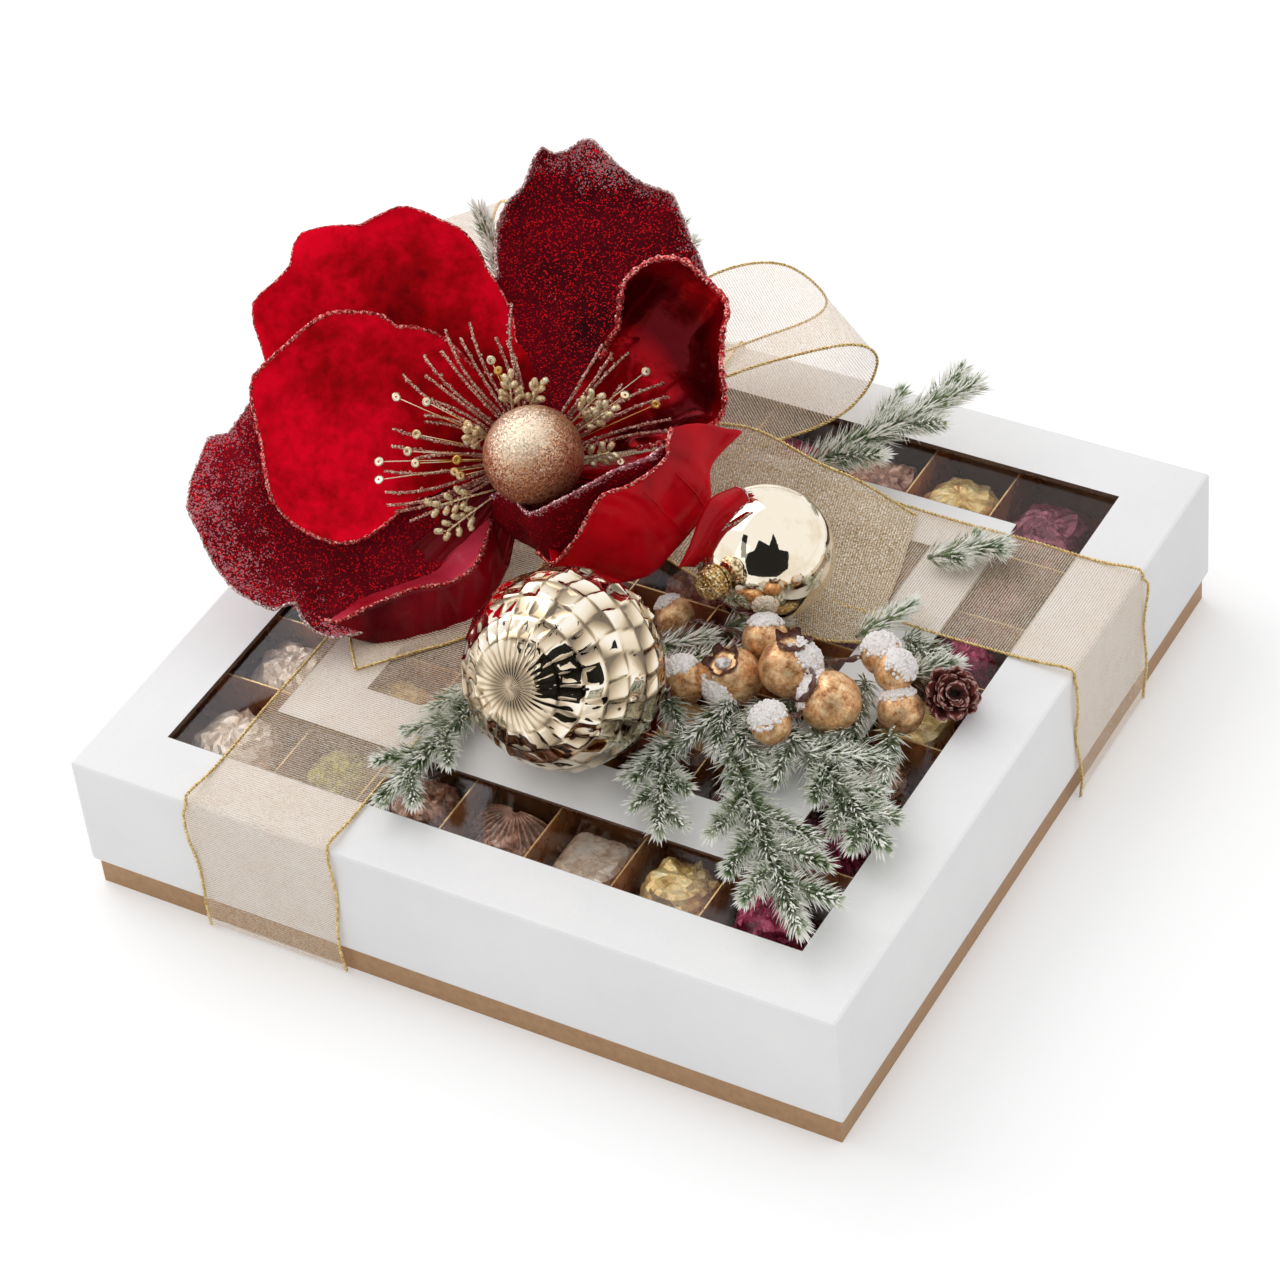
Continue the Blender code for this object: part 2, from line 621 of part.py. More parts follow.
# Each petal: angle in degrees, place in the stack, then as shares of the petal reach the
# middle guide (reach, rise, side), the tip (reach, rise, side) and the half width, then the
# share of the length where it is widest and the curl of its two sides in radians
PETAL_SHARES = {
    "petal_top": (77, 0, (0.407, -0.222, 0), (0.933, -0.044, 0), 0.311, 0.62, (0.35, 0.35), RED_VELVET),
    "petal_under_left": (222, 0, (0.45, -0.145, 0), (0.76, 0.095, 0), 0.29, 0.60, (0.03, 1.9), RED_SATIN),
    "petal_low_left": (200, 1, (0.481, -0.045, 0), (1.0, 0.165, 0), 0.320, 0.60, (0.03, 0.5), SUGARED_RED),
    "petal_upper_left": (134, 2, (0.370, -0.050, 0), (0.90, 0.05, 0), 0.400, 0.60, (0.5, 0.5), RED_VELVET),
    "petal_left": (171, 3, (0.370, 0.02, 0), (0.830, 0.145, 0), 0.348, 0.60, (0.5, 0.5), RED_VELVET),
    "petal_right": (42, 4, (0.444, -0.037, 0), (0.681, 0.222, 0), 0.267, 0.60, (0.8, 0.8), RED_SATIN),
    "petal_front": (290, 4, (0.704, 0.015, 0.06), (0.133, 0.444, 0.222), 0.35, 0.7, (0.5, 0.5), RED_SATIN),
    "petal_leaf": (50, 3, (0.121, 0.437, -0.536), (0.296, 0.385, -0.525), 0.055, 0.6, (0.1, 0.1), RED_SATIN),
}
PETAL_TIP_FALL_SHARE = 0.93
PETAL_TIP_POWER = 2.4
PETAL_WAVES = 5
CURL_ROOT_SHARE = 0.15
CURL_GROWTH_SHARE = 1.10
# The leaf-shaped petal grows from behind the front petal: reach, rise and side shares
LEAF_ROOT_SHARES = (0.006, 0.300, -0.510)


def petal_level(place):
    return -FIRST_PETAL_DEPTH + place * (PETAL_THICKNESS + PETAL_STACK_GAP)


def petal_point(name, u, v):
    """A point of a petal in the flower's frame: u from base to tip, v from side to side."""
    angle, place, middle, tip, width_share, widest, curls, _ = PETAL_SHARES[name]
    start = np.array((RECEPTACLE_RADIUS + SEAT_GAP, petal_level(place), 0.0))
    if name == "petal_leaf":
        start = np.array(LEAF_ROOT_SHARES) * PETAL_REACH
    guide = np.array(middle) * PETAL_REACH
    end = np.array(tip) * PETAL_REACH
    reach, rise, side = (1 - u) ** 2 * start + 2 * u * (1 - u) * guide + u * u * end
    slope = 2 * (1 - u) * (guide - start) + 2 * u * (end - guide)
    length = math.hypot(slope[0], slope[1])
    out_reach, out_rise = -slope[1] / length, slope[0] / length
    half = PETAL_REACH * width_share
    grow = min(1.0, u / widest)
    swell = math.sin(grow * math.pi / 2)
    if u > widest:
        fall = (u - widest) / (1 - widest)
        swell = math.sqrt(1 - PETAL_TIP_FALL_SHARE * fall ** PETAL_TIP_POWER)
    half = PETAL_BASE_HALF_WIDTH + (half - PETAL_BASE_HALF_WIDTH) * swell
    place_across = 2 * v - 1
    curl = curls[1] if place_across > 0 else curls[0]
    curl = curl * min(1.0, CURL_ROOT_SHARE + CURL_GROWTH_SHARE * u)
    bend = curl * place_across
    across = half * math.sin(bend) / curl
    lift = half * (1 - math.cos(bend)) / curl
    lift += PETAL_RUFFLE * math.sin(PETAL_WAVES * place_across + angle) * u * u * abs(place_across)
    reach += out_reach * lift
    rise += out_rise * lift
    radians = math.radians(angle)
    along = side + across
    return Vector((math.cos(radians) * reach - math.sin(radians) * along,
                   math.sin(radians) * reach + math.cos(radians) * along,
                   rise))


def make_petals():
    frame = flower_frame()
    for name, row in PETAL_SHARES.items():
        mesh = sheet_mesh(name, lambda u, v, name=name: petal_point(name, u, v), 9, 8)
        petal = add_part(name, mesh, row[-1], math.radians(60))
        petal.matrix_world = frame
        solidify(petal, PETAL_THICKNESS)


def stem_length():
    """Distance from the flower's centre back to the bow's knot, along the stem."""
    back = -(flower_frame().to_3x3() @ Vector((0, 0, 1)))
    halves = Vector((KNOT_HALF_LENGTH, KNOT_HALF_DEPTH, KNOT_HALF_HEIGHT))
    halves += Vector((1, 1, 1)) * (SEAT_GAP + STEM_TIP_RADIUS / 2)
    offset = FLOWER_CENTRE - KNOT_CENTRE
    p = Vector([offset[i] / halves[i] for i in range(3)])
    d = Vector([back[i] / halves[i] for i in range(3)])
    half_b = p.dot(d)
    root = math.sqrt(half_b ** 2 - d.dot(d) * (p.dot(p) - 1))
    return (-half_b - root) / d.dot(d)


def make_receptacle():
    length = stem_length()
    profile = [(0, RECEPTACLE_FRONT), (RECEPTACLE_RADIUS, RECEPTACLE_FRONT),
               (RECEPTACLE_RADIUS, -RECEPTACLE_BACK),
               (STEM_RADIUS, -RECEPTACLE_BACK - RECEPTACLE_RADIUS),
               (STEM_RADIUS, -length + STEM_RADIUS), (STEM_TIP_RADIUS, -length), (0, -length)]
    mesh = turned_mesh("flower_receptacle", profile, 16)
    receptacle = add_part("flower_receptacle", mesh, FROSTED_NEEDLE, math.radians(40))
    receptacle.matrix_world = flower_frame()


def make_bud_ball():
    work = bmesh.new()
    bmesh.ops.create_uvsphere(work, u_segments=18, v_segments=10, radius=BUD_BALL_RADIUS)
    ball = add_part("flower_ball", mesh_from(work, "flower_ball"), ROSE_GLITTER, math.radians(60))
    lift = RECEPTACLE_FRONT + SEAT_GAP + BUD_BALL_RADIUS
    ball.matrix_world = flower_frame() @ Matrix.Translation((0, 0, lift))


STAMEN_COUNT = 30
LEFT_FAN = (98, 208)
RIGHT_FAN = (8, 62)
STAMEN_TIP_SHARES = (0.78, 0.92)


def make_stamens():
    """A pierced disc with long points where the petals leave room for the filaments."""
    inner = RECEPTACLE_RADIUS + SEAT_GAP
    work = bmesh.new()
    rings = {"inner": [], "valley": [], "peak": []}
    for i in range(STAMEN_COUNT):
        angle = 2 * math.pi * i / STAMEN_COUNT
        between = angle + math.pi / STAMEN_COUNT
        degrees = math.degrees(between) % 360
        in_fan = LEFT_FAN[0] < degrees < LEFT_FAN[1] or RIGHT_FAN[0] < degrees < RIGHT_FAN[1]
        peak = STAMEN_LONG * STAMEN_TIP_SHARES[i % 2] if in_fan else STAMEN_SHORT
        rise = STAMEN_LIFT * (peak - inner) / (STAMEN_LONG - inner)
        rings["inner"].append(work.verts.new((inner * math.cos(angle), inner * math.sin(angle), 0)))
        rings["valley"].append(work.verts.new((STAMEN_VALLEY * math.cos(angle),
                                               STAMEN_VALLEY * math.sin(angle), 0)))
        rings["peak"].append(work.verts.new((peak * math.cos(between), peak * math.sin(between), rise)))
    for i in range(STAMEN_COUNT):
        j = (i + 1) % STAMEN_COUNT
        work.faces.new((rings["inner"][i], rings["valley"][i], rings["valley"][j], rings["inner"][j]))
        work.faces.new((rings["valley"][i], rings["peak"][i], rings["valley"][j]))
    stamens = add_part("stamen_crown", mesh_from(work, "stamen_crown"), ROSE_GLITTER)
    stamens.matrix_world = flower_frame() @ Matrix.Translation((0, 0, -STAMEN_LEVEL))
    step = solidify(stamens, STAMEN_THICKNESS)
    step.use_even_offset = False


def make_flower():
    make_receptacle()
    make_petals()
    make_bud_ball()
    make_stamens()


# Glass balls
QUILT_SIDES = 18
QUILT_RINGS = 10
QUILT_RELIEF = 0.0011


def make_quilted_ball():
    """Staggered rings, so that the facets are diamonds, with every second ring set in."""
    work = bmesh.new()
    rings = []
    for ring in range(1, QUILT_RINGS):
        slope = math.pi * ring / QUILT_RINGS
        radius = QUILTED_RADIUS - (QUILT_RELIEF if ring % 2 else 0)
        turn = 0.5 * (ring % 2)
        row = []
        for i in range(QUILT_SIDES):
            angle = 2 * math.pi * (i + turn) / QUILT_SIDES
            row.append(work.verts.new((radius * math.sin(slope) * math.cos(angle),
                                       radius * math.sin(slope) * math.sin(angle),
                                       radius * math.cos(slope))))
        rings.append(row)
    top = work.verts.new((0, 0, QUILTED_RADIUS))
    bottom = work.verts.new((0, 0, -QUILTED_RADIUS))
    for i in range(QUILT_SIDES):
        j = (i + 1) % QUILT_SIDES
        work.faces.new((top, rings[0][i], rings[0][j]))
        work.faces.new((bottom, rings[-1][j], rings[-1][i]))
        for k in range(len(rings) - 1):
            upper, lower = rings[k], rings[k + 1]
            if (k + 1) % 2:
                work.faces.new((upper[i], lower[i], lower[j]))
                work.faces.new((upper[i], lower[j], upper[j]))
            else:
                work.faces.new((upper[i], lower[i], upper[j]))
                work.faces.new((upper[j], lower[i], lower[j]))
    return mesh_from(work, "quilted_ball")


# A cap's profile from its wire stub to its rim: shares of its radius and of its height
CAP_PROFILE_SHARES = ((0.2, 1.2), (0.2, 1.0), (0.8, 1.0), (0.9, 0.30), (1.06, 0.18), (1.0, 0.0))
CAP_FLAT_SHARE = 0.70


def ornament_cap(name, centre, direction, radius):
    """A metal cap with a rolled rim and a stub of wire, seated on its ball."""
    foot = math.sqrt(radius ** 2 - CAP_RADIUS ** 2) + SEAT_GAP
    top = radius + CAP_HEIGHT
    profile = [(0, foot + (top - foot) * CAP_PROFILE_SHARES[0][1])]
    profile += [(CAP_RADIUS * across, foot + (top - foot) * up) for across, up in CAP_PROFILE_SHARES]
    profile += [(CAP_RADIUS * CAP_FLAT_SHARE, radius + SEAT_GAP), (0, radius + SEAT_GAP)]
    mesh = turned_mesh(name, profile, 14)
    cap = add_part(name, mesh, GOLD_METAL, math.radians(40))
    cap.matrix_world = aimed(centre, direction)
    return cap


QUILTED_POLE = (-0.035, -0.88, 0.472)
MIRROR_POLE = (-0.295, -0.947, 0.128)
# The smooth ball nestles beside the front petal: its place from the flower's middle
MIRROR_PLACE_SHARES = (0.752, 0.004)


def make_ornaments():
    height = FRAME_TOP + SEAT_GAP + math.sqrt(QUILTED_RADIUS ** 2 - QUILTED_INSIDE_FRAME ** 2)
    centre = Vector((QUILTED_X, QUILTED_INSIDE_FRAME - FRAME_INNER_SIDE / 2, height))
    quilted = add_part("quilted_ball", make_quilted_ball(), CHAMPAGNE_GLASS)
    quilted.matrix_world = aimed(centre, QUILTED_POLE)
    ornament_cap("quilted_ball_cap", centre, -Vector(QUILTED_POLE), QUILTED_RADIUS)
    x, y = [FLOWER_CENTRE[i] + PETAL_REACH * MIRROR_PLACE_SHARES[i] for i in range(2)]
    centre = Vector((x, y, TAIL_TOP + SEAT_GAP + MIRROR_RADIUS))
    work = bmesh.new()
    bmesh.ops.create_uvsphere(work, u_segments=22, v_segments=12, radius=MIRROR_RADIUS)
    mirror = add_part("mirror_ball", mesh_from(work, "mirror_ball"), CHAMPAGNE_GLASS, math.radians(60))
    mirror.location = centre
    ornament_cap("mirror_ball_cap", centre, Vector(MIRROR_POLE), MIRROR_RADIUS)


# Greenery: each sprig and cone is a stepped spindle, turned about its stem
SPRIG_STEM_RADIUS = 0.0011
SPRIG_SIDES = 7
BRUSH_SHARE = 0.90
CORNER_SHARE = 0.78
BRUSH_TIP_SHARE = 0.16
BRUSH_SPREAD_SHARE = 0.66
BRUSH_FULLNESS = 0.60
WHORL_NECK_SHARE = 0.42
WHORL_STEP_SHARE = 0.25
SET_DOWN_STEPS = 40
SPRIG_THIN = 0.0058
SPRIG_MIDDLE = 0.0085
SPRIG_FULL = 0.0100


def surface_under(x, y):
    """Height of what lies on the box at a place, seen from above: lid, frame, film or ribbon."""
    across = max(abs(x), abs(y))
    height = FILM_TOP
    if across > WINDOW_SIDE / 2:
        height = LID_TOP
    elif FRAME_INNER_SIDE / 2 < across < FRAME_OUTER_SIDE / 2:
        height = FRAME_TOP
    if abs(y - CROSSING_Y) < RIBBON_WIDTH / 2 or abs(x - CROSSING_X) < RIBBON_WIDTH / 2:
        height = RIBBON_TOP
    return height


def brush_radius(radius, share):
    """Radius of a sprig's brush, a share of the way from its tip to its foot."""
    return radius * math.sin(math.pi * (BRUSH_TIP_SHARE + BRUSH_SPREAD_SHARE * share)) ** BRUSH_FULLNESS


def set_down(foot, tip, radius):
    """Raises or lowers a sprig until its brush lies on what is under it."""
    lift = None
    for i in range(SET_DOWN_STEPS + 1):
        share = i / SET_DOWN_STEPS
        spot = tip.lerp(foot, share * BRUSH_SHARE)
        reach = brush_radius(radius, share)
        for sideways in (-reach, 0, reach):
            for lengthways in (-reach, 0, reach):
                under = surface_under(spot.x + sideways, spot.y + lengthways)
                drop = reach if not (sideways or lengthways) else CORNER_SHARE * reach
                need = under + SEAT_GAP + drop - spot.z
                lift = need if lift is None else max(lift, need)
    return Vector((0, 0, lift))


def make_sprig(name, foot, tip, radius, whorls):
    length = (tip - foot).length
    brush = length * BRUSH_SHARE
    profile = [(0, length)]
    for i in range(whorls):
        share = (i + 1) / whorls
        swell = brush_radius(radius, share)
        height = length - brush * share
        profile.append((swell * WHORL_NECK_SHARE, height - brush * WHORL_STEP_SHARE / whorls))
        profile.append((swell, height))
    profile.append((SPRIG_STEM_RADIUS, length - brush - 2 * SPRIG_STEM_RADIUS))
    profile += [(SPRIG_STEM_RADIUS, 0), (0, 0)]
    sprig = add_part(name, turned_mesh(name, profile, SPRIG_SIDES), FROSTED_NEEDLE)
    sprig.matrix_world = aimed(foot, tip - foot)
    return sprig


# Sprigs that lie on the lid: foot and tip as shares of the lid's side (right, back), the
# share that the tip stands higher, the brush's radius, and the number of whorls
LYING_SPRIG_SHARES = (
    ("sprig_back_right", (0.036, 0.285), (0.227, 0.418), 0.106, SPRIG_MIDDLE, 8),
    ("sprig_on_ribbon", (0.261, 0.203), (0.339, 0.255), 0.009, SPRIG_THIN, 5),
    ("sprig_under_ribbon", (0.297, 0.073), (0.367, 0.036), 0.009, SPRIG_THIN, 4),
    ("sprig_front_near", (0.127, -0.194), (0.200, -0.342), 0.015, SPRIG_MIDDLE, 7),
    ("sprig_front_far", (0.212, -0.194), (0.415, -0.418), 0.021, SPRIG_FULL, 9),
    ("sprig_right", (0.291, -0.152), (0.439, -0.267), 0.021, SPRIG_FULL, 7),
    ("sprig_left", (-0.103, -0.212), (-0.109, -0.427), 0.015, SPRIG_MIDDLE, 8),
)
# Sprigs that stand behind the flower: direction of the foot on the knot, then the tip from
# the knot's middle as shares of the petal reach, the brush's radius, and the whorls
STANDING_SPRIG_SHARES = (
    ("sprig_behind_left", (-0.1, 0.1, 1.0), (-0.393, 0.311, 0.548), SPRIG_MIDDLE, 8),
    ("sprig_behind_right", (0.1, 0.8, 0.6), (0.156, 0.548, 0.489), SPRIG_MIDDLE, 8),
)


def knot_seat(direction, clearance):
    """A point just off the knot's surface, in a direction from its middle."""
    halves = Vector((KNOT_HALF_LENGTH, KNOT_HALF_DEPTH, KNOT_HALF_HEIGHT))
    halves += Vector((1, 1, 1)) * clearance
    way = Vector(direction)
    scale = 1 / math.sqrt(sum((way[i] / halves[i]) ** 2 for i in range(3)))
    return KNOT_CENTRE + way * scale


def make_sprigs():
    for name, foot_share, tip_share, rise_share, radius, whorls in LYING_SPRIG_SHARES:
        foot = Vector((*foot_share, 0)) * LID_SIDE
        tip = Vector((*tip_share, rise_share)) * LID_SIDE
        lift = set_down(foot, tip, radius)
        make_sprig(name, foot + lift, tip + lift, radius, whorls)
    for name, direction, tip_share, radius, whorls in STANDING_SPRIG_SHARES:
        foot = knot_seat(direction, SEAT_GAP + SPRIG_STEM_RADIUS / 2)
        make_sprig(name, foot, KNOT_CENTRE + Vector(tip_share) * PETAL_REACH, radius, whorls)


CONE_RADIUS = 0.0100
CONE_INSIDE_WINDOW = 0.0065
CONE_Y = -0.0020
CONE_WHORLS = 5
CONE_LEAN = (0.45, -0.55, 0.70)
CONE_LIP_SHARE = 0.80
CONE_NECK_SHARE = 0.66
CONE_STEP_SHARE = 0.04
CONE_TIP_SHARE = 0.14
CONE_SPREAD_SHARE = 0.72


def make_cone():
    """A small pine cone: whorls of scales that flare out and step back in."""
    length = 2 * CONE_RADIUS
    profile = [(0, length)]
    for i in range(CONE_WHORLS):
        share = (i + CONE_LIP_SHARE) / CONE_WHORLS
        swell = CONE_RADIUS * math.sin(math.pi * (CONE_TIP_SHARE + CONE_SPREAD_SHARE * share))
        profile.append((swell, length * (1 - share)))
        profile.append((swell * CONE_NECK_SHARE, length * (1 - share + CONE_STEP_SHARE)))
    profile[-1] = (CONE_RADIUS / 4, 0)
    profile.append((0, 0))
    cone = add_part("pine_cone", turned_mesh("pine_cone", profile, 9), BROWN_CONE)
    middle = Vector((WINDOW_SIDE / 2 - CONE_INSIDE_WINDOW, CONE_Y, FILM_TOP + SEAT_GAP + CONE_RADIUS))
    cone.matrix_world = aimed(middle, CONE_LEAN) @ Matrix.Translation((0, 0, -length / 2))


# Berries: place (right, back) and rise above the film as shares of the window frame's outer
# side, and radius. The first of each spray lies on the film
TWIG_RADIUS = 0.0008
BERRY_SMALL = 0.0080
BERRY_MIDDLE = 0.0092
BERRY_LARGE = 0.0120
NEAR_SPRAY_SHARES = (
    (0.058, -0.014, None, BERRY_SMALL),
    (0.262, -0.042, 0.080, BERRY_MIDDLE),
    (0.248, -0.145, 0.068, BERRY_LARGE),
    (0.173, -0.182, 0.064, BERRY_MIDDLE),
)
FAR_SPRAY_SHARES = (
    (0.548, -0.079, None, BERRY_MIDDLE),
    (0.523, -0.047, 0.103, BERRY_SMALL),
    (0.481, -0.014, 0.099, BERRY_SMALL),
    (0.353, -0.119, 0.110, BERRY_LARGE),
    (0.449, -0.150, 0.089, BERRY_LARGE),
    (0.379, -0.243, 0.089, BERRY_SMALL),
)


def make_spray(name, berries):
    """Berries on one wire twig, joined into a single body."""
    places = []
    for right, back, rise, radius in berries:
        height = SEAT_GAP + radius if rise is None else FRAME_OUTER_SIDE * rise
        centre = Vector((FRAME_OUTER_SIDE * right, FRAME_OUTER_SIDE * back, FILM_TOP + height))
        places.append((centre, radius))
    work = bmesh.new()
    for centre, radius in places:
        made = bmesh.ops.create_uvsphere(work, u_segments=10, v_segments=6, radius=radius)["verts"]
        bmesh.ops.translate(work, verts=made, vec=centre)
    fruit = cutter(name + "_fruit", mesh_from(work, name + "_fruit"))
    path = bpy.data.curves.new(name + "_twig", "CURVE")
    path.dimensions = "3D"
    path.bevel_depth = TWIG_RADIUS
    path.bevel_resolution = 1
    path.use_fill_caps = True
    line = path.splines.new("POLY")
    line.points.add(len(places) - 1)
    for point, (centre, _) in zip(line.points, places):
        point.co = (*centre, 1.0)
    guide = bpy.data.objects.new(name + "_twig", path)
    CUTTERS.objects.link(guide)
    bpy.context.view_layer.update()
    graph = bpy.context.evaluated_depsgraph_get()
    mesh = bpy.data.meshes.new_from_object(guide.evaluated_get(graph))
    bpy.data.objects.remove(guide, do_unlink=True)
    work = bmesh.new()
    work.from_mesh(mesh)
    bmesh.ops.remove_doubles(work, verts=work.verts, dist=MERGE_DISTANCE)
    spray = add_part(name, mesh_from(work, name), GOLD_BERRY, math.radians(50))
    step = boolean(spray, fruit, "UNION")
    step.use_self = True
    return spray


def make_berries():
    make_spray("berry_spray_near", NEAR_SPRAY_SHARES)
    make_spray("berry_spray_far", FAR_SPRAY_SHARES)


def hang_on_lid(pieces):
    """Parents the pieces that lift off to one empty on the line along which the lid slides."""
    handle = bpy.data.objects.new("lid_lift", None)
    PARTS.objects.link(handle)
    for piece in pieces:
        piece.parent = handle


def main():
    make_base_tray()
    make_pad()
    make_surround()
    make_dividers()
    make_shown_chocolates()
    staying = set(PARTS.objects)
    make_lid()
    make_ribbon_bands()
    make_bow()
    make_flower()
    make_ornaments()
    make_sprigs()
    make_cone()
    make_berries()
    hang_on_lid([piece for piece in PARTS.objects if piece not in staying])


main()
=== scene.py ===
# %% [markdown]
# # A chocolate gift box with a bow and a red flower
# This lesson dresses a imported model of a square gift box: a white lid with a film window, foil
# sweets in a card grid, an organza ribbon with a bow, and a bouquet of one large fabric flower,
# two glass balls, painted berries, a pine cone and frosted fir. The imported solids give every
# place and size in metres, so nothing here is fitted by eye. The front of the box is -Y.

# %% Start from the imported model
from math import acos, atan2, copysign, cos, exp, hypot, pi, radians, sin, sqrt, tau
import bpy
import numpy as np
from mathutils import Matrix, Vector, noise


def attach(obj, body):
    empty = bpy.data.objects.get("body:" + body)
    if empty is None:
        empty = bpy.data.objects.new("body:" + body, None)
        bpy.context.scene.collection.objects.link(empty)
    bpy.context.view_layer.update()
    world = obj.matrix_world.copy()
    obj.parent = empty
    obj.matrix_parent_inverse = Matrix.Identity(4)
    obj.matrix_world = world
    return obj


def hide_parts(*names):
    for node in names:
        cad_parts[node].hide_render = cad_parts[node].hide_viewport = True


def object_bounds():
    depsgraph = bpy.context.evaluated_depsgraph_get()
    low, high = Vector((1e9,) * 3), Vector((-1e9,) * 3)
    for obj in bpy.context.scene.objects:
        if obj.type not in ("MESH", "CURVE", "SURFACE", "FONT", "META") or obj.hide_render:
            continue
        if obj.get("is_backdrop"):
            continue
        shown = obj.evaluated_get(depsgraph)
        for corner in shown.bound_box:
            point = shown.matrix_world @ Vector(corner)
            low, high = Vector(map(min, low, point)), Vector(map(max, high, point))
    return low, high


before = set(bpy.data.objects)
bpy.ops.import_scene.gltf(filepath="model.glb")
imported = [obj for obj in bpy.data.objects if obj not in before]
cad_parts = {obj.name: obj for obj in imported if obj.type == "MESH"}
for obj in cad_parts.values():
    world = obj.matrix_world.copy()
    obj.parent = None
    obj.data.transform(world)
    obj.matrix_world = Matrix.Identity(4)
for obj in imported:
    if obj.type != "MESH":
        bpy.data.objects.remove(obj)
CAD_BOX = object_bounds()
bpy.context.scene.view_settings.view_transform = "Standard"
MM = 0.001


def linked(name, data):
    """A new object with that data, in the scene."""
    made = bpy.data.objects.new(name, data)
    bpy.context.scene.collection.objects.link(made)
    return made


print("solids:", len(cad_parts))

# %% [markdown]
# ## The camera
# The photograph looks down at one corner of the box from about 42 degrees. Its place, its turn
# and its lens were solved from the eight straight corners of the lid and the window, so the
# camera is set by numbers. The flower faces the camera, so nearly the same turn serves it later.

# %% Place the camera
def facing(degrees):
    """The turn of a camera that stands that far round the box and looks down at it."""
    return (Matrix.Rotation(radians(degrees), 4, "Z") @ Matrix.Rotation(radians(48.35), 4, "X")
            @ Matrix.Rotation(radians(-6.33), 4, "Z"))


VIEW_TURN = facing(33.21)
camera = linked("camera", bpy.data.cameras.new("camera"))
camera.matrix_world = Matrix.Translation((0.67954, -1.04852, 1.16402)) @ VIEW_TURN
camera.data.lens = 119.47
camera.data.sensor_width = 36
bpy.context.scene.camera = camera
print("camera", tuple(round(x, 3) for x in camera.location))

# %% [markdown]
# ## Building blocks for finishes
# A finish is a small tree of shader nodes, and one class keeps the trees short. In its calls an
# amount is a number or the output of another node, and a colour of three numbers is written as
# it looks on a screen. Many finishes are a tone that follows soft noise, over a fine relief, so
# those are made by one function from a few numbers.

# %% Helpers for finishes
def seen(red, green, blue):
    """A colour as it looks on a screen, turned into the light value that a shader wants."""
    channels = [c / 12.92 if c < 0.04045 else ((c + 0.055) / 1.055) ** 2.4 for c in (red, green, blue)]
    return (*channels, 1.0)


class Finish:
    """A material, with short calls that add nodes to it."""

    def __init__(self, name, **inputs):
        self.material = bpy.data.materials.new(name)
        self.material.use_nodes = True
        self.tree = self.material.node_tree
        self.shader = self.tree.nodes["Principled BSDF"]
        self.wear(**inputs)

    def plug(self, socket, value):
        """Wires an output to a socket, or sets the socket to a number or a colour."""
        if isinstance(value, bpy.types.NodeSocket):
            self.tree.links.new(value, socket)
        else:
            socket.default_value = seen(*value) if socket.type == "RGBA" and len(value) == 3 else value

    def wear(self, **inputs):
        for name, value in inputs.items():
            self.plug(self.shader.inputs[name.replace("_", " ")], value)

    def surface(self, output):
        self.plug(self.tree.nodes["Material Output"].inputs["Surface"], output)

    def add(self, kind, inputs=(), output=0, **settings):
        """Adds one node and gives one of its outputs."""
        made = self.tree.nodes.new("ShaderNode" + kind)
        for name, value in settings.items():
            setattr(made, name, value)
        for name, value in dict(inputs).items():
            self.plug(made.inputs[name], value)
        return made.outputs[output]

    def sums(self, operation, first, second=0.0):
        return self.add("Math", {0: first, 1: second}, operation=operation)

    def plus(self, first, second):
        return self.sums("ADD", first, second)

    def times(self, first, second):
        return self.sums("MULTIPLY", first, second)

    def above(self, first, second):
        return self.sums("GREATER_THAN", first, second)

    def most(self, first, second):
        return self.sums("MAXIMUM", first, second)

    def blend(self, amount, first, second, mode="MIX"):
        return self.add("Mix", {0: amount, 6: first, 7: second}, 2, data_type="RGBA", blend_type=mode)

    def part(self, vector, axis):
        return self.add("SeparateXYZ", {"Vector": vector}, axis)

    def place(self):
        """Where a point lies on the object, in metres."""
        return self.add("TexCoord", output="Object")

    def speckle(self, scale, detail=3.0, rough=0.6, stretch=None):
        """Soft noise, from 0 to 1."""
        place = self.place()
        if stretch:
            place = self.add("Mapping", {"Vector": place, "Scale": stretch})
        return self.add("TexNoise", {"Vector": place, "Scale": scale, "Detail": detail, "Roughness": rough})

    def grains(self, scale, output="Distance"):
        """Cells like sugar or glitter: the distance to each grain's middle, or a colour for each."""
        return self.add("TexVoronoi", {"Vector": self.place(), "Scale": scale}, output)

    def steps(self, amount, *stops):
        """Turns an amount into a colour, through (place, colour) stops."""
        output = self.add("ValToRGB", {"Fac": amount})
        ramp = output.node.color_ramp
        while len(ramp.elements) < len(stops):
            ramp.elements.new(0.5)
        for element, (place, colour) in zip(ramp.elements, stops):
            element.position = place
            element.color = seen(*colour)
        return output

    def between(self, amount, low, high, new_low=0.0, new_high=1.0):
        """Stretches the amounts from low to high over a new range, and stops at its ends."""
        return self.add("MapRange", {"Value": amount, "From Min": low, "From Max": high,
                                     "To Min": new_low, "To Max": new_high})

    def relief(self, height, depth, strength=1.0):
        """Makes a surface look raised where height is larger; depth is in metres."""
        self.wear(Normal=self.add("Bump", {"Height": height, "Distance": depth, "Strength": strength}))

    def share(self, name="share"):
        """A number stored on the mesh, such as how near a point is to a petal's rim."""
        return self.add("Attribute", output="Fac", attribute_name=name)


def painted(name, grain, stops, dents=None, frost=None, **inputs):
    """A tone that follows noise, over fine dents. With frost, the stored share counts as well."""
    finish = Finish(name, **inputs)
    amount = finish.speckle(*grain)
    if frost:
        amount = finish.plus(finish.share(), finish.between(amount, 0.3, 0.7, *frost))
    finish.wear(Base_Color=finish.steps(amount, *stops))
    if dents:
        grain, depth, strength = dents
        finish.relief(finish.speckle(*grain), depth, strength)
    return finish


print("helpers ready")

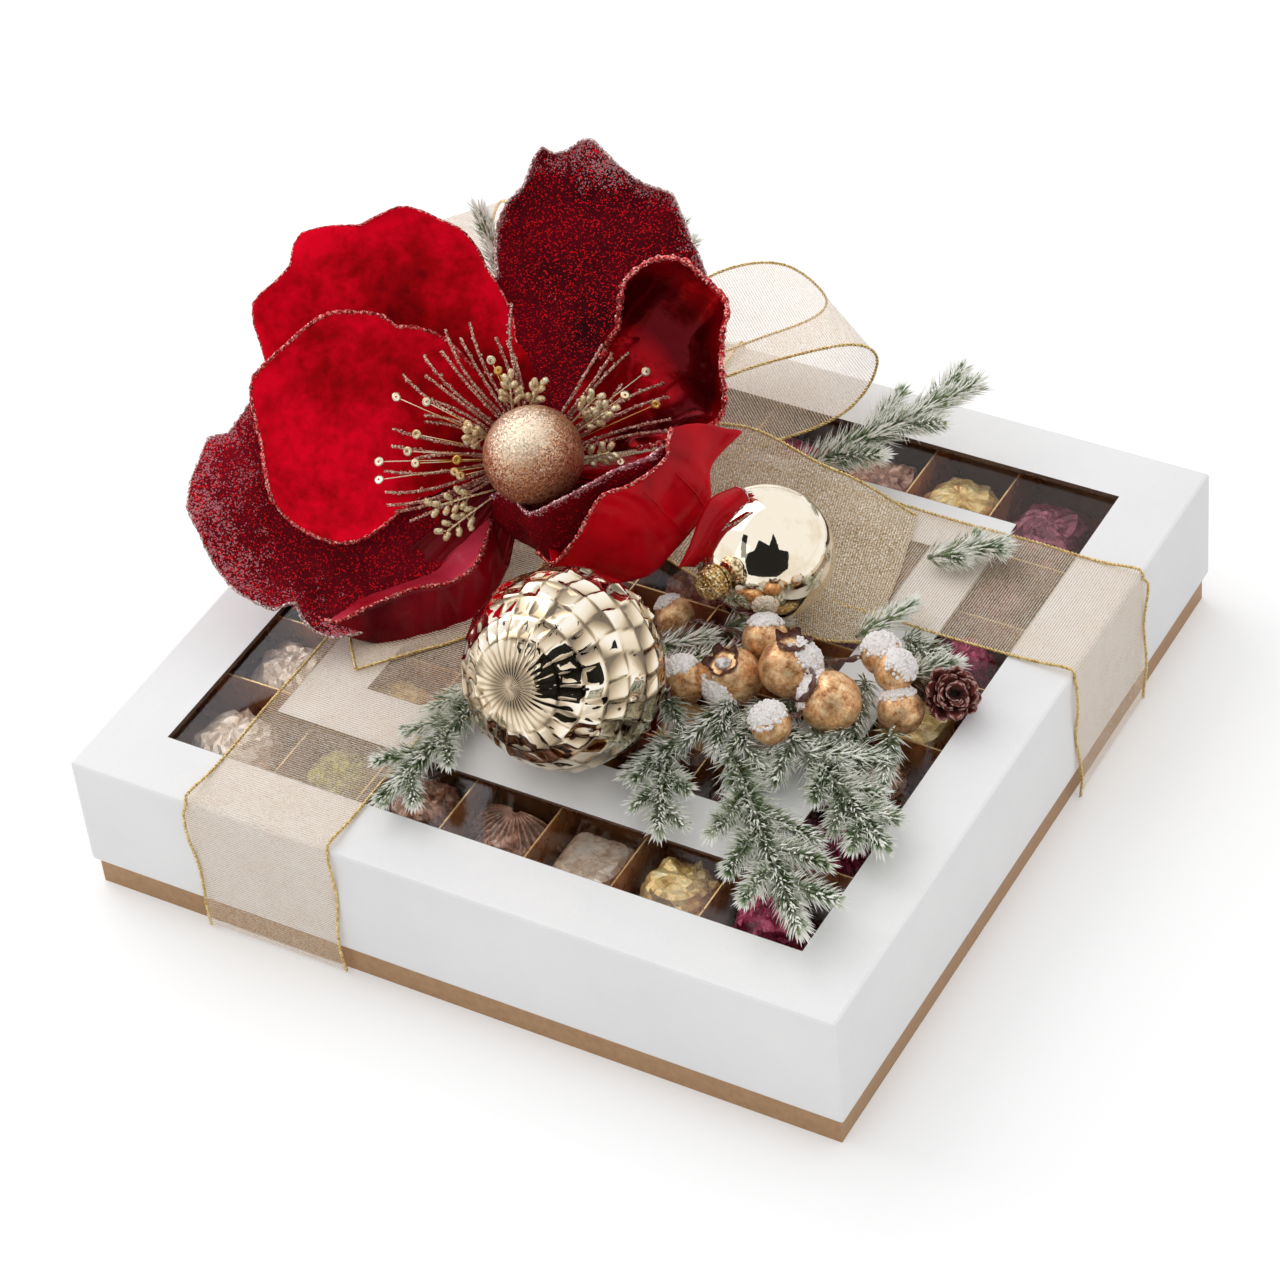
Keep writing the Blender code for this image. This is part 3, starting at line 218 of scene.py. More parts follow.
# %% [markdown]
# ## The studio
# The photograph was taken in a soft white tent: a white floor, a large soft light from behind on
# the left, and a dark room behind the camera that the glass balls reflect. The floor is white to
# the camera, to reflections and through glass, but it still takes the shadow. The two dark cards
# stand for the room and are seen only in glossy surfaces.

# %% Floor, soft lights and reflection cards
def mesh_object(name, points, faces, finish):
    mesh = bpy.data.meshes.new(name)
    mesh.from_pydata(points, [], faces)
    mesh.materials.append(finish.material)
    return linked(name, mesh)


FLOOR_HALF, FLOOR_GLOW = 9, 0.22
SKY_LEVEL, SKY_LEVEL_LIT = 1.0, 0.79
floor = Finish("studio_floor", Base_Color=(0.93, 0.93, 0.93), Roughness=1.0)
sight = 0.0
for kind in ("Camera", "Glossy", "Transmission"):
    ray = floor.add("LightPath", output=f"Is {kind} Ray")
    sight = floor.most(sight, ray) if sight else ray
glow = floor.add("Emission", {"Strength": floor.times(sight, FLOOR_GLOW)})
floor.surface(floor.add("AddShader", {0: floor.shader.outputs[0], 1: glow}))
ground = [(-FLOOR_HALF, -FLOOR_HALF, 0), (FLOOR_HALF, -FLOOR_HALF, 0), (FLOOR_HALF, FLOOR_HALF, 0),
          (-FLOOR_HALF, FLOOR_HALF, 0)]
mesh_object("floor", ground, [(0, 1, 2, 3)], floor)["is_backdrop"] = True

world = bpy.data.worlds.new("soft_tent")
bpy.context.scene.world = world
world.use_nodes = True
nodes, links = world.node_tree.nodes, world.node_tree.links
ray, level, sky = nodes.new("ShaderNodeLightPath"), nodes.new("ShaderNodeMapRange"), nodes["Background"]
# The tent is less bright where it lights a surface than where it is seen
level.inputs["To Min"].default_value, level.inputs["To Max"].default_value = SKY_LEVEL, SKY_LEVEL_LIT
links.new(ray.outputs["Is Diffuse Ray"], level.inputs["Value"])
links.new(level.outputs["Result"], sky.inputs["Strength"])
sky.inputs["Color"].default_value = (1, 1, 1, 1)


def soft_light(name, place, width, height, watts):
    """A rectangle of light that points at the box."""
    data = bpy.data.lights.new(name, "AREA")
    data.shape = "RECTANGLE"
    data.size, data.size_y, data.energy = width, height, watts
    lamp = linked(name, data)
    lamp.location = place
    lamp.rotation_euler = (Vector((0, 0, 0.05)) - Vector(place)).to_track_quat("-Z", "Y").to_euler()
    lamp.visible_camera = False


soft_light("back_left_softbox", (-1.50, 0.45, 1.75), 2.3, 1.9, 19)
soft_light("window_by_the_camera", VIEW_TURN @ Vector((-1.20, 0.14, 1.55)), 0.72, 0.90, 0.7)

dark = Finish("dark_room", Base_Color=(0.09, 0.085, 0.08), Roughness=1.0)
CARDS = {
    "dark_room_card": (2.4, ((-1.6, -1.9), (0.9, -2.0), (1.9, -1.3), (1.7, 0.1), (0.9, 0.3), (0.55, 1.5),
                             (0.2, 0.5), (-0.5, 0.9), (-0.8, 0.2), (-1.7, -0.1))),
    "dark_doorway_card": (2.3, ((-2.05, -0.3), (-1.45, -0.3), (-1.45, 1.4), (-2.05, 1.7))),
}
for name, (behind, outline) in CARDS.items():
    corners = [VIEW_TURN @ Vector((x, y, behind)) for x, y in outline]
    card = mesh_object(name, corners, [tuple(range(len(corners)))], dark)
    card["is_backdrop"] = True
    for kind in ("camera", "diffuse", "shadow", "transmission"):
        setattr(card, "visible_" + kind, False)

# %% [markdown]
# ## Building blocks for shapes
# Most of the bouquet is many small things: needles, wires, beads. Making each with a Blender tool
# would be slow, so one helper collects points and faces and turns them into a single mesh at the
# end. It also stores a number for each point, called its share, that a finish can read: how near
# a point is to a rim, or how far along a needle.

# %% Helpers for shapes
def unit(way):
    return way / (np.linalg.norm(way, axis=-1, keepdims=True) + 1e-12)


def around(angle, radius, height=0.0):
    """A place round the upright axis."""
    return radius * cos(angle), radius * sin(angle), height


def over(theta, angle):
    """The direction that leans by theta from straight up, towards angle."""
    return Vector(around(angle, sin(theta), cos(theta)))


def within(value):
    """Keeps a number from 0 to 1."""
    return min(1.0, max(0.0, value))


def store(piece, key, values):
    """Stores a number for each point, where a finish can read it."""
    piece.data.attributes.new(key, "FLOAT", "POINT").data.foreach_set("value", values.astype(np.float32))


class Pile:
    """Collects points, faces and shares, then makes one mesh of them."""

    def __init__(self):
        self.points, self.faces, self.shares, self.count = [], [], [], 0

    def take(self, points, faces, shares=0.0):
        points = np.asarray(points, float)
        self.points.append(points)
        self.faces += [tuple(i + self.count for i in face) for face in faces]
        self.shares.append(np.broadcast_to(np.asarray(shares, float), (len(points),)))
        self.count += len(points)

    def tube(self, path, radii, sides=6):
        """A round wire through the given points, with a radius for each of them."""
        path = np.asarray(path, float)
        count = len(path)
        radii = np.broadcast_to(np.asarray(radii, float), (count,))
        ahead = unit(np.gradient(path, axis=0))
        side = np.cross(ahead[0], (0.31, 0.17, 0.93))
        if np.linalg.norm(side) < 0.1:
            side = np.cross(ahead[0], (0.9, 0.1, 0.0))
        rings = []
        for i in range(count):
            side = side - ahead[i] * np.dot(side, ahead[i])
            side /= np.linalg.norm(side)
            other = np.cross(ahead[i], side)
            for k in range(sides):
                across, up, _ = around(tau * k / sides, radii[i])
                rings.append(path[i] + across * side + up * other)
        faces = [(i * sides + k, i * sides + (k + 1) % sides, (i + 1) * sides + (k + 1) % sides,
                  (i + 1) * sides + k) for i in range(count - 1) for k in range(sides)]
        faces += [tuple(reversed(range(sides))), tuple(range((count - 1) * sides, count * sides))]
        self.take(rings, faces, np.repeat(np.linspace(0, 1, count), sides))

    def grid(self, point_at, along, across, share_at=None):
        """An open sheet: the corner (u, v), both from 0 to 1, lies where point_at puts it."""
        places = [(i / along, j / across) for i in range(along + 1) for j in range(across + 1)]
        points = [point_at(u, v) for u, v in places]
        shares = [share_at(u, v) if share_at else 0.0 for u, v in places]
        row = across + 1
        faces = [(i * row + j, (i + 1) * row + j, (i + 1) * row + j + 1, i * row + j + 1)
                 for i in range(along) for j in range(across)]
        self.take(points, faces, shares)
        return self.points[-1].reshape(along + 1, row, 3)

    def ball(self, centre, shape, count=12, rings=8, turn=None, shares=0.0):
        """A closed round form. shape gives the radius, and shares the share, in each direction."""
        ways = [Vector((0, 0, 1))]
        for i in range(1, rings):
            ways += [over(pi * i / rings, tau * k / count) for k in range(count)]
        ways.append(Vector((0, 0, -1)))
        last = len(ways) - 1
        faces = []
        for k in range(count):
            n = (k + 1) % count
            faces.append((0, 1 + k, 1 + n))
            faces.append((last, last - count + n, last - count + k))
            for a in range(1, 1 + (rings - 2) * count, count):
                faces.append((a + k, a + count + k, a + count + n, a + n))
        moved = [way * (shape(way) if callable(shape) else shape) for way in ways]
        if callable(shares):
            shares = [shares(way) for way in ways]
        if turn is not None:
            moved = [turn @ p for p in moved]
        self.take([Vector(centre) + p for p in moved], faces, shares)

    def piece(self, name, finish, slot, replaces=None, body="lid", smooth=True, place=None):
        """Makes the object, smooth or faceted, and says what it rides on and stands for."""
        points = np.concatenate(self.points)
        if place is not None:
            points = np.array([place @ Vector(p) for p in points])
        made = mesh_object(name, points.tolist(), self.faces, finish)
        store(made, "share", np.concatenate(self.shares))
        if smooth:
            made.data.shade_smooth()
        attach(made, body)
        if replaces:
            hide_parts(replaces)
        return made


def smooth_curve(points, share):
    """A point on the smooth curve through the given points."""
    spot = share * (len(points) - 1)
    first = min(int(spot), len(points) - 2)
    t = spot - first
    p1, p2 = np.asarray(points[first], float), np.asarray(points[first + 1], float)
    p0 = np.asarray(points[first - 1], float) if first > 0 else 2 * p1 - p2
    p3 = np.asarray(points[first + 2], float) if first + 2 < len(points) else 2 * p2 - p1
    return 0.5 * (2 * p1 + (p2 - p0) * t + (2 * p0 - 5 * p1 + 4 * p2 - p3) * t * t
                  + (3 * p1 - p0 - 3 * p2 + p3) * t ** 3)


def run_of(path):
    """How far along a path each of its points lies."""
    return np.concatenate([[0], np.cumsum(np.linalg.norm(np.diff(path, axis=0), axis=1))])


def spaced(path, least, gap):
    """Points at even gaps along a path, and how far along it each of them lies."""
    run = run_of(path)
    spots = np.linspace(0, run[-1], max(least, int(run[-1] / gap)))
    return np.stack([np.interp(spots, run, axis) for axis in path.T], axis=1), spots


def give(name, finish):
    """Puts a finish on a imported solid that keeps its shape."""
    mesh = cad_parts[name].data
    mesh.materials.clear()
    mesh.materials.append(finish.material)


print("shape helpers ready")

# %% [markdown]
# ## The white lid, the window frame and the brown base
# The lid and the frame are grey board wrapped in matte white paper. Paper is never quite one
# white: it has fine fibres that catch the light and a faint cloudiness. Where a knife cut the
# window, the bare board shows as a thin brown edge. Both come from one finish, which reads how
# far a point lies from the middle of the box and turns brown at the cut.

# %% Paper and board
WINDOW_HALF, FRAME_HALF, FRAME_GAP_HALF = 0.1375, 0.107, 0.0815
CUT_DEPTH = 0.00012


def wrapped_board(name, cut_inside, cut_outside=None):
    finish = Finish(name, Roughness=0.62, Specular_IOR_Level=0.35)
    clouds = finish.steps(finish.speckle(9, 4), (0.3, (0.925, 0.925, 0.93)), (0.7, (0.965, 0.962, 0.960)))
    fibres = finish.speckle(900, 4, 0.7, (1, 0.35, 1))
    paper = finish.blend(finish.between(fibres, 0.35, 0.75, 0.0, 0.16), clouds, (0.88, 0.88, 0.89))
    board = finish.steps(finish.speckle(1400, 2), (0.3, (0.30, 0.22, 0.19)), (0.7, (0.50, 0.41, 0.35)))
    far = finish.most(*(finish.sums("ABSOLUTE", finish.part(finish.place(), axis)) for axis in "XY"))
    cut = finish.sums("LESS_THAN", far, cut_inside + CUT_DEPTH)
    if cut_outside:
        cut = finish.most(cut, finish.above(far, cut_outside - CUT_DEPTH))
    finish.wear(Base_Color=finish.blend(cut, paper, board))
    finish.relief(fibres, 0.00006, 0.5)
    return finish


give("lid_shell", wrapped_board("white_wrapped_board", WINDOW_HALF))
give("window_frame", wrapped_board("white_frame_card", FRAME_GAP_HALF, FRAME_HALF))

BROWN_GRAIN = (300, 4, 0.7)
brown = painted("brown_gold_paper", BROWN_GRAIN, ((0.3, (0.64, 0.48, 0.33)), (0.7, (0.72, 0.57, 0.41))),
                ((1500, 2), 0.00005, 0.6), Metallic=0.15)
brown.wear(Roughness=brown.between(brown.speckle(*BROWN_GRAIN), 0.3, 0.7, 0.34, 0.52))
give("base_tray", brown)

# %% [markdown]
# ## The clear film
# The window is a thin film glued under the lid. Nearly all light goes straight through it, and
# at a slant it mirrors the white tent as a faint grey haze. A glass shader would bend what lies
# behind, which a film doesn't do, so this finish mixes clear with a mirror, by the angle it is
# seen at. A slow ripple in the film breaks up the reflection.

# %% Clear film
film = Finish("clear_film")
film.tree.nodes.remove(film.shader)
ripple = film.add("Bump", {"Height": film.speckle(16, 2, 0.5), "Distance": 0.0015, "Strength": 0.35})
clear = film.add("BsdfTransparent", {"Color": (0.97, 0.97, 0.97, 1)})
mirror = film.add("BsdfGlossy", {"Color": (0.9, 0.9, 0.93, 1), "Roughness": 0.06, "Normal": ripple})
slant = film.add("LayerWeight", {"Blend": 0.35}, "Facing")
film.surface(film.add("MixShader", {0: film.between(slant, 0.0, 1.0, 0.008, 0.06), 1: clear, 2: mirror}))
give("window_film", film)

# %% [markdown]
# ## The card grid
# Twelve strips of gold foil card stand on edge, slotted together, with a card surround that fills
# the space to the tray. Foil card has a soft mottled sheen, and its cut upper edge catches a
# bright line. The finish brightens the last half millimetre below the top.

# %% Gold card
DIVIDER_TOP, BRIGHT_EDGE = 0.0600, 0.00045
gold_card = Finish("gold_foil_card", Metallic=0.5)
mottle = gold_card.speckle(90, 3, 0.6)
# Painted highlight: a brighter gold on the last half millimetre below each strip's top.
edge = gold_card.above(gold_card.part(gold_card.place(), "Z"), DIVIDER_TOP - BRIGHT_EDGE)
sides = gold_card.steps(mottle, (0.3, (0.68, 0.42, 0.23)), (0.7, (0.84, 0.56, 0.33)))
gold_card.wear(Base_Color=gold_card.blend(edge, sides, (0.96, 0.80, 0.56)),
               Roughness=gold_card.between(mottle, 0.3, 0.7, 0.22, 0.36))
gold_card.relief(mottle, 0.0004, 0.4)
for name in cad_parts:
    if name.startswith("divider_"):
        give(name, gold_card)

# %% [markdown]
# ## The surround
# Round the grid the card is bent down and runs out to the tray's walls, and the strips run on over
# it to their ends. So the outer sweets lie partly beyond the window's edge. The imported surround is
# one plain block, and this piece stands for it, inside the same outline.

# %% Card surround with the ends of the strips
CELLS = 7
CELL_PITCH = 0.0370
GRID_HALF = CELLS / 2 * CELL_PITCH
LEDGE_TOP = 0.0300
CARD_HALF = 0.00030
CARD_EASE = 0.00012
spots = np.array([v.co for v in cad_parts["card_surround"].data.vertices])
OUTER_HALF, LEDGE_FOOT = float(spots[:, 0].max()), float(spots[:, 2].min())


def board(pile, low, high):
    """A flat card, by two opposite corners, with its upper edges a little eased."""
    corners = []
    for ease, z in ((0, low[2]), (0, high[2] - CARD_EASE), (CARD_EASE, high[2])):
        corners += [(x, y, z) for x in (low[0] + ease, high[0] - ease) for y in (low[1] + ease, high[1] - ease)]
    walls = ((0, 2, 6, 4), (2, 3, 7, 6), (3, 1, 5, 7), (1, 0, 4, 5))
    faces = [tuple(base + i for i in wall) for base in (0, 4) for wall in walls]
    pile.take(corners, [(0, 1, 3, 2), *faces, (8, 10, 11, 9)])


surround = Pile()
for side in (-1, 1):
    near, far = sorted((side * GRID_HALF, side * OUTER_HALF))
    board(surround, (near, -OUTER_HALF, LEDGE_FOOT), (far, OUTER_HALF, LEDGE_TOP))
    board(surround, (-GRID_HALF, near, LEDGE_FOOT), (GRID_HALF, far, LEDGE_TOP))
    for line in range(1, CELLS):
        centre = (line - CELLS / 2) * CELL_PITCH
        board(surround, (near, centre - CARD_HALF, LEDGE_TOP), (far, centre + CARD_HALF, DIVIDER_TOP))
        board(surround, (centre - CARD_HALF, near, LEDGE_TOP), (centre + CARD_HALF, far, DIVIDER_TOP))
surround.piece("card_surround_ends", gold_card, "gold_card", "card_surround", "base", smooth=False)
print("surround out to", round(OUTER_HALF * 1000, 1), "mm")

pad = painted("brown_pad_card", (300, 4), ((0.3, (0.16, 0.11, 0.08)), (0.7, (0.27, 0.19, 0.14))),
              ((1200, 3), 0.0001, 1.0), Roughness=0.8)
give("chocolate_pad", pad)

# %% [markdown]
# ## The sweets
# Each cell holds a chocolate wrapped in thin foil. Foil shows sharp creases with flat facets
# between them, so a smooth form with a bump would look wrong. Here the wrap is a rounded lump
# whose points are pushed along creased noise, left faceted, and a twisted one has a pleated
# skirt of foil on top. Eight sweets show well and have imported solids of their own. The other
# forty-one show only through the film, so they share one mesh for each foil colour.

# %% Foil finishes and the crinkled wrap
def foil(name, deep, bright, body):
    finish = Finish(name, Metallic=0.35, Specular_IOR_Level=0.8)
    creases = finish.speckle(160, 5, 0.65)
    tone = finish.steps(creases, (0.28, deep), (0.5, body), (0.72, bright))
    # Painted shade in the pleats of a twist's foil skirt, from the share stored on the skirt.
    pleat_shade = finish.times(finish.share(), 0.75)
    finish.wear(Base_Color=finish.blend(pleat_shade, tone, deep),
                Roughness=finish.between(creases, 0.3, 0.7, 0.18, 0.36))
    finish.relief(finish.speckle(420, 4, 0.7), 0.0004, 0.7)
    return finish


FOILS = {tone: foil(tone + "_foil", *tones) for tone, tones in {
    "champagne": ((0.70, 0.58, 0.48), (1.0, 0.97, 0.93), (0.92, 0.83, 0.74)),
    "gold": ((0.74, 0.52, 0.22), (1.0, 0.96, 0.78), (1.0, 0.86, 0.56)),
    "magenta": ((0.36, 0.04, 0.17), (0.93, 0.45, 0.60), (0.70, 0.14, 0.34)),
    "burgundy": ((0.22, 0.06, 0.11), (0.74, 0.46, 0.52), (0.52, 0.20, 0.28)),
    "bronze": ((0.32, 0.19, 0.14), (0.98, 0.87, 0.80), (0.74, 0.53, 0.43)),
    "lime": ((0.42, 0.44, 0.08), (0.88, 0.88, 0.45), (0.68, 0.68, 0.20)),
}.items()}
SWEET_FLOOR = 0.0271
# half height, how square, how deeply creased
KINDS = {"wrap": (0.0150, 2.8, 0.24), "block": (0.0125, 9.0, 0.05), "twist": (0.0120, 2.2, 0.20)}
# the pleated skirt of a twist runs part of the way round, in degrees
PLEATS, SKIRT_FROM, SKIRT_TURN = 30, 172, 196
SLID_X = {0: -0.0120, 6: 0.0020}
SLID_Y = {0: -0.0050, 6: 0.0110}


def crinkled(pile, column, row, kind, seed):
    """One wrapped sweet. Those in the outer cells have slid outwards."""
    x = (column - 3) * CELL_PITCH + SLID_X.get(column, 0.0)
    y = (row - 3) * CELL_PITCH + SLID_Y.get(row, 0.0)
    tall, square, creased = KINDS[kind]
    wide = 0.0128 if kind == "block" else 0.0165 if column == 0 or row == 6 else 0.0142
    lift = SWEET_FLOOR + 0.0002 + tall
    offset = Vector((seed * 3.7, seed * 1.9, seed * 5.3))

    def shape(way):
        boxy = sum(abs(way[axis]) ** square for axis in range(3)) ** (-1 / square)
        crease = abs(noise.noise(way * 2.6 + offset)) + 0.5 * abs(noise.noise(way * 5.5 + offset))
        return wide * boxy * (1.0 - creased * 0.45 + creased * crease)

    pile.ball((x, y, lift), shape, 32, 22, Matrix.Diagonal((1, 1, tall / wide)).to_4x4())
    if kind != "twist":
        return

    def skirt(u, v):
        angle = radians(SKIRT_FROM + SKIRT_TURN * v)
        wave = sin(PLEATS * angle)
        radius = 0.0016 + 0.0175 * u * (1 + 0.05 * wave + 0.04 * sin(11 * angle + seed))
        height = lift + tall + 0.0035 - 0.0030 * u - 0.0085 * u ** 3 + 0.0007 * wave * u
        return (x + radius * cos(angle), y + 0.008 + radius * 0.95 * sin(angle), height)

    # The skirt's share is painted shade: darkest in the fold of each pleat, and none at its middle.
    def depth(u, v):
        return (0.5 - 0.5 * sin(PLEATS * radians(SKIRT_FROM + SKIRT_TURN * v))) * min(1, 3 * u)

    pile.grid(skirt, 9, 150, depth)


# %% Sweets that show, and the other cells
SHOWN = {(0, 1): ("left_1", "champagne", "wrap"), (0, 2): ("left_2", "champagne", "wrap"),
         (3, 0): ("front_1", "bronze", "twist"), (4, 0): ("front_2", "champagne", "block"),
         (5, 0): ("front_3", "gold", "wrap"), (6, 1): ("right_1", "magenta", "twist"),
         (6, 5): ("right_2", "burgundy", "wrap"), (5, 6): ("back_1", "gold", "wrap")}
TONES = ("gold", "burgundy", "champagne", "magenta", "bronze", "gold", "burgundy")
SEEN_TONES = {(0, 0): "champagne", (1, 0): "lime", (6, 6): "burgundy", (4, 6): "bronze", (6, 0): "magenta"}
for number, (cell, (node, tone, kind)) in enumerate(SHOWN.items(), 1):
    pile = Pile()
    crinkled(pile, *cell, kind, number)
    pile.piece("foil_chocolate_" + node, FOILS[tone], tone + "_foil", "chocolate_" + node, "base", smooth=False)

others = {tone: Pile() for tone in FOILS}
for column in range(CELLS):
    for row in range(CELLS):
        cell = (column, row)
        if cell not in SHOWN:
            tone = SEEN_TONES.get(cell, TONES[(column * 2 + row * 3) % len(TONES)])
            kind = "block" if (column + row) % 3 == 0 and cell not in SEEN_TONES else "wrap"
            crinkled(others[tone], column, row, kind, 9 + column * CELLS + row)
for tone, pile in others.items():
    slot = "gold_foil" if tone == "lime" else tone + "_foil"
    pile.piece("cell_sweets_" + tone, FOILS[tone], slot, body="base", smooth=False)
print("sweets:", len(SHOWN), "and", CELLS ** 2 - len(SHOWN))

# %% [markdown]
# ## The organza ribbon
# Organza is a very thin stiff mesh, woven from cream threads with a little gold in them, and its
# two edges are wrapped round a fine gold wire that holds a bend. Over white card it looks cream,
# and over the dark cells the gaps between its threads show. So the cloth is one layer of mesh
# whose finish is partly clear, in lines as fine as the threads, and the wire is a real twisted
# tube along each edge. Each cloth stores the position across and along it in metres.

# %% Organza finish and gold wire
RIBBON_WIDTH = 0.0635
THREAD_PITCH = 0.00105
WIRE_RADIUS, WIRE_PITCH = 0.00052, 0.0034


def organza(name, cover, dark_thread, warm):
    finish = Finish(name, Roughness=0.55, Specular_IOR_Level=0.3)

    def lines(position, pitch, strength):
        wave = finish.sums("SINE", finish.times(finish.share(position), tau / pitch))
        return finish.times(wave, strength)

    weave = finish.plus(lines("along", THREAD_PITCH, 0.26), lines("across", THREAD_PITCH * 0.6, 0.12))
    clouds = finish.between(finish.speckle(60, 3), 0.3, 0.7, -0.05, 0.05)
    amount = finish.plus(finish.plus(weave, clouds), cover)
    fleck = finish.speckle(1500, 2, 0.6)
    finish.wear(Base_Color=finish.steps(fleck, (0.30, dark_thread), (0.44, warm), (0.68, (1.0, 0.97, 0.92))),
                Alpha=finish.between(amount, 0.0, 1.0), Metallic=finish.between(fleck, 0.62, 0.72))
    return finish


ORGANZA = organza("cream_organza", 0.38, (0.68, 0.52, 0.36), (0.92, 0.81, 0.68))
DOUBLE_ORGANZA = organza("double_organza", 0.80, (0.52, 0.40, 0.22), (0.76, 0.66, 0.50))
WIRE_GOLD = painted("gold_wire", (900, 2), ((0.35, (0.80, 0.64, 0.36)), (0.65, (1.0, 0.93, 0.70))),
                    Metallic=0.75, Roughness=0.32)


def twisted(pile, path):
    """Two strands wound round each other along a path, like the wire in a ribbon's edge."""
    line, spots = spaced(path, 12, WIRE_PITCH / 5)
    ahead = unit(np.gradient(line, axis=0))
    side = unit(np.cross(ahead, (0.31, 0.17, 0.93)))
    other = np.cross(ahead, side)
    for half in (0, pi):
        turn = (tau * spots / WIRE_PITCH + half)[:, None]
        strand = line + WIRE_RADIUS * 0.8 * (np.cos(turn) * side + np.sin(turn) * other)
        pile.tube(strand, WIRE_RADIUS * 0.75, 4)


def cloth(name, node, point_at, along, across, finish=ORGANZA, length=None):
    """One layer of ribbon, with a wire along both edges. Its length is its middle line's, or given."""
    pile, trim = Pile(), Pile()
    points = pile.grid(point_at, along, across)
    made = pile.piece(name, finish, "sheer_ribbon", node)
    run = run_of(points[:, across // 2])
    wide = np.cumsum(np.linalg.norm(np.diff(points, axis=1, prepend=points[:, :1]), axis=2), axis=1)
    store(made, "along", np.repeat(run, across + 1))
    store(made, "across", wide.reshape(-1))
    for edge in (0, -1):
        twisted(trim, points[:, edge])
    wires = trim.piece(name + "_wires", WIRE_GOLD, "gold_metal")
    length = length or float(run[-1])
    print(name, "length", round(length, 3), "area", round(sum(p.area for p in made.data.polygons), 5))


# %% [markdown]
# ## The two bands
# One band runs from side to side and one from front to back, over the lid's top, down its sides
# and in under its rim. The cloth is straight, but its wires stand a little proud where they turn
# over the lid's edge, which gives the small waves seen at the corners. The front band crosses
# over the other one.

# %% Ribbon bands
LID_HALF = 0.165
LID_TOP = 0.0653
CROSSING = (-0.0790, 0.0660)
LEVEL = LID_TOP + 0.0005
OUTSIDE = LID_HALF + 0.0006
RIM_LEVEL, CORNER = 0.0010, 0.0022


def make_band(name, node, along_x, centre, crossing, hump):
    # distance along the lid and height, from the rim up to the top, across it and down again
    rise = [(OUTSIDE, RIM_LEVEL), (OUTSIDE, 0.020), (OUTSIDE, 0.040), (OUTSIDE, LEVEL - CORNER),
            (OUTSIDE - CORNER * 0.3, LEVEL - CORNER * 0.3), (OUTSIDE - CORNER, LEVEL)]
    over_other = ((-0.049, 0), (-0.033, hump), (0, hump), (0.033, hump), (0.049, 0))
    top = [(crossing + x, LEVEL + z) for x, z in over_other] if hump else [(crossing, LEVEL), (0.07, LEVEL)]
    route = np.array([(-x, z) for x, z in rise] + top + rise[::-1])
    run = run_of(route)

    def point_at(u, v):
        spot = u * run[-1]
        distance, height = (np.interp(spot, run, axis) for axis in route.T)
        side = centre + (v - 0.5) * RIBBON_WIDTH
        edge = abs(2 * v - 1) ** 6
        corner = exp(-((abs(distance) - LID_HALF) / 0.012) ** 2 - ((height - LEVEL) / 0.02) ** 2)
        ripple = sin(spot * 95 + 3 * v + centre * 50)
        height += edge * (0.0022 * corner + 0.0003 * (1 + ripple) * (height > LEVEL - 0.001))
        if height < LEVEL - 0.003:
            distance += copysign(edge * 0.0016 * (0.5 + 0.5 * sin(height * 150 + 5 * v)), distance)
            side += 0.0012 * sin(height * 70 + 4) * edge * copysign(1, v - 0.5)
        return (distance, side, height) if along_x else (side, distance, height)

    cloth(name, node, point_at, 190, 14, length=float(run[-1]))


make_band("organza_side_to_side", "ribbon_side_to_side", True, CROSSING[1], CROSSING[0], 0)
make_band("organza_front_to_back", "ribbon_front_to_back", False, CROSSING[0], CROSSING[1], 0.0009)

# %% [markdown]
# ## The bow
# The bow's loops stand up on their wires. Each loop leaves the knot, rises, turns over at its far
# end and comes back under itself, and it is gathered to a third of its width at the knot. The
# route is a smooth curve through a few points, in shares of the loop's reach and height. One tail
# lies open over the side band, and the other ends in a point on the front band.

# %% Bow loops
KNOT = Vector((-0.0790, 0.0660, 0.0760))
KNOT_HALVES = (0.0170, 0.0140, 0.0090)
GATHERED_WIDTH = 0.022
LOOP_ROUTE_SHARES = ((0.35, 0.66), (0.62, 0.98), (0.87, 0.90), (1.0, 0.48), (0.90, 0.10),
                     (0.62, -0.05), (0.31, -0.07))
LOOP_ENDS_SHARES = (0.10, -0.02)


def make_loop(name, node, degrees, reach, height, roll):
    heading = radians(degrees)
    forward, sideways = Vector(around(heading, 1)), Vector((-sin(heading), cos(heading), 0))
    flat = hypot(forward.x / KNOT_HALVES[0], forward.y / KNOT_HALVES[1])
    first, last = [(sqrt(1 - (rise * height / KNOT_HALVES[2]) ** 2) / flat + 0.0006, rise * height)
                   for rise in LOOP_ENDS_SHARES]
    route = [first] + [(a * reach, b * height) for a, b in LOOP_ROUTE_SHARES] + [last]

    def point_at(u, v):
        spot = smooth_curve(route, u)
        opened = within((spot[0] - first[0]) / (reach * 0.42))
        width = GATHERED_WIDTH + (RIBBON_WIDTH - GATHERED_WIDTH) * sin(opened * pi / 2)
        lean = roll * sin(pi * within(spot[1] / height))
        across = sideways * cos(lean) + Vector((0, 0, 1)) * sin(lean)
        pleat = 0.0012 * sin(v * pi * 6) * (1 - opened)
        wave = 0.0011 * sin(u * 17 + 2.4 * v) * opened * sin(pi * u)
        centre = KNOT + forward * float(spot[0]) + Vector((0, 0, float(spot[1]) + pleat + wave))
        return centre + across * (v - 0.5) * width

    cloth(name, node, point_at, 80, 18)


make_loop("organza_loop_right", "bow_loop_right", 47, 0.128, 0.040, radians(-11))
make_loop("organza_loop_back", "bow_loop_back", 147, 0.118, 0.054, radians(8))

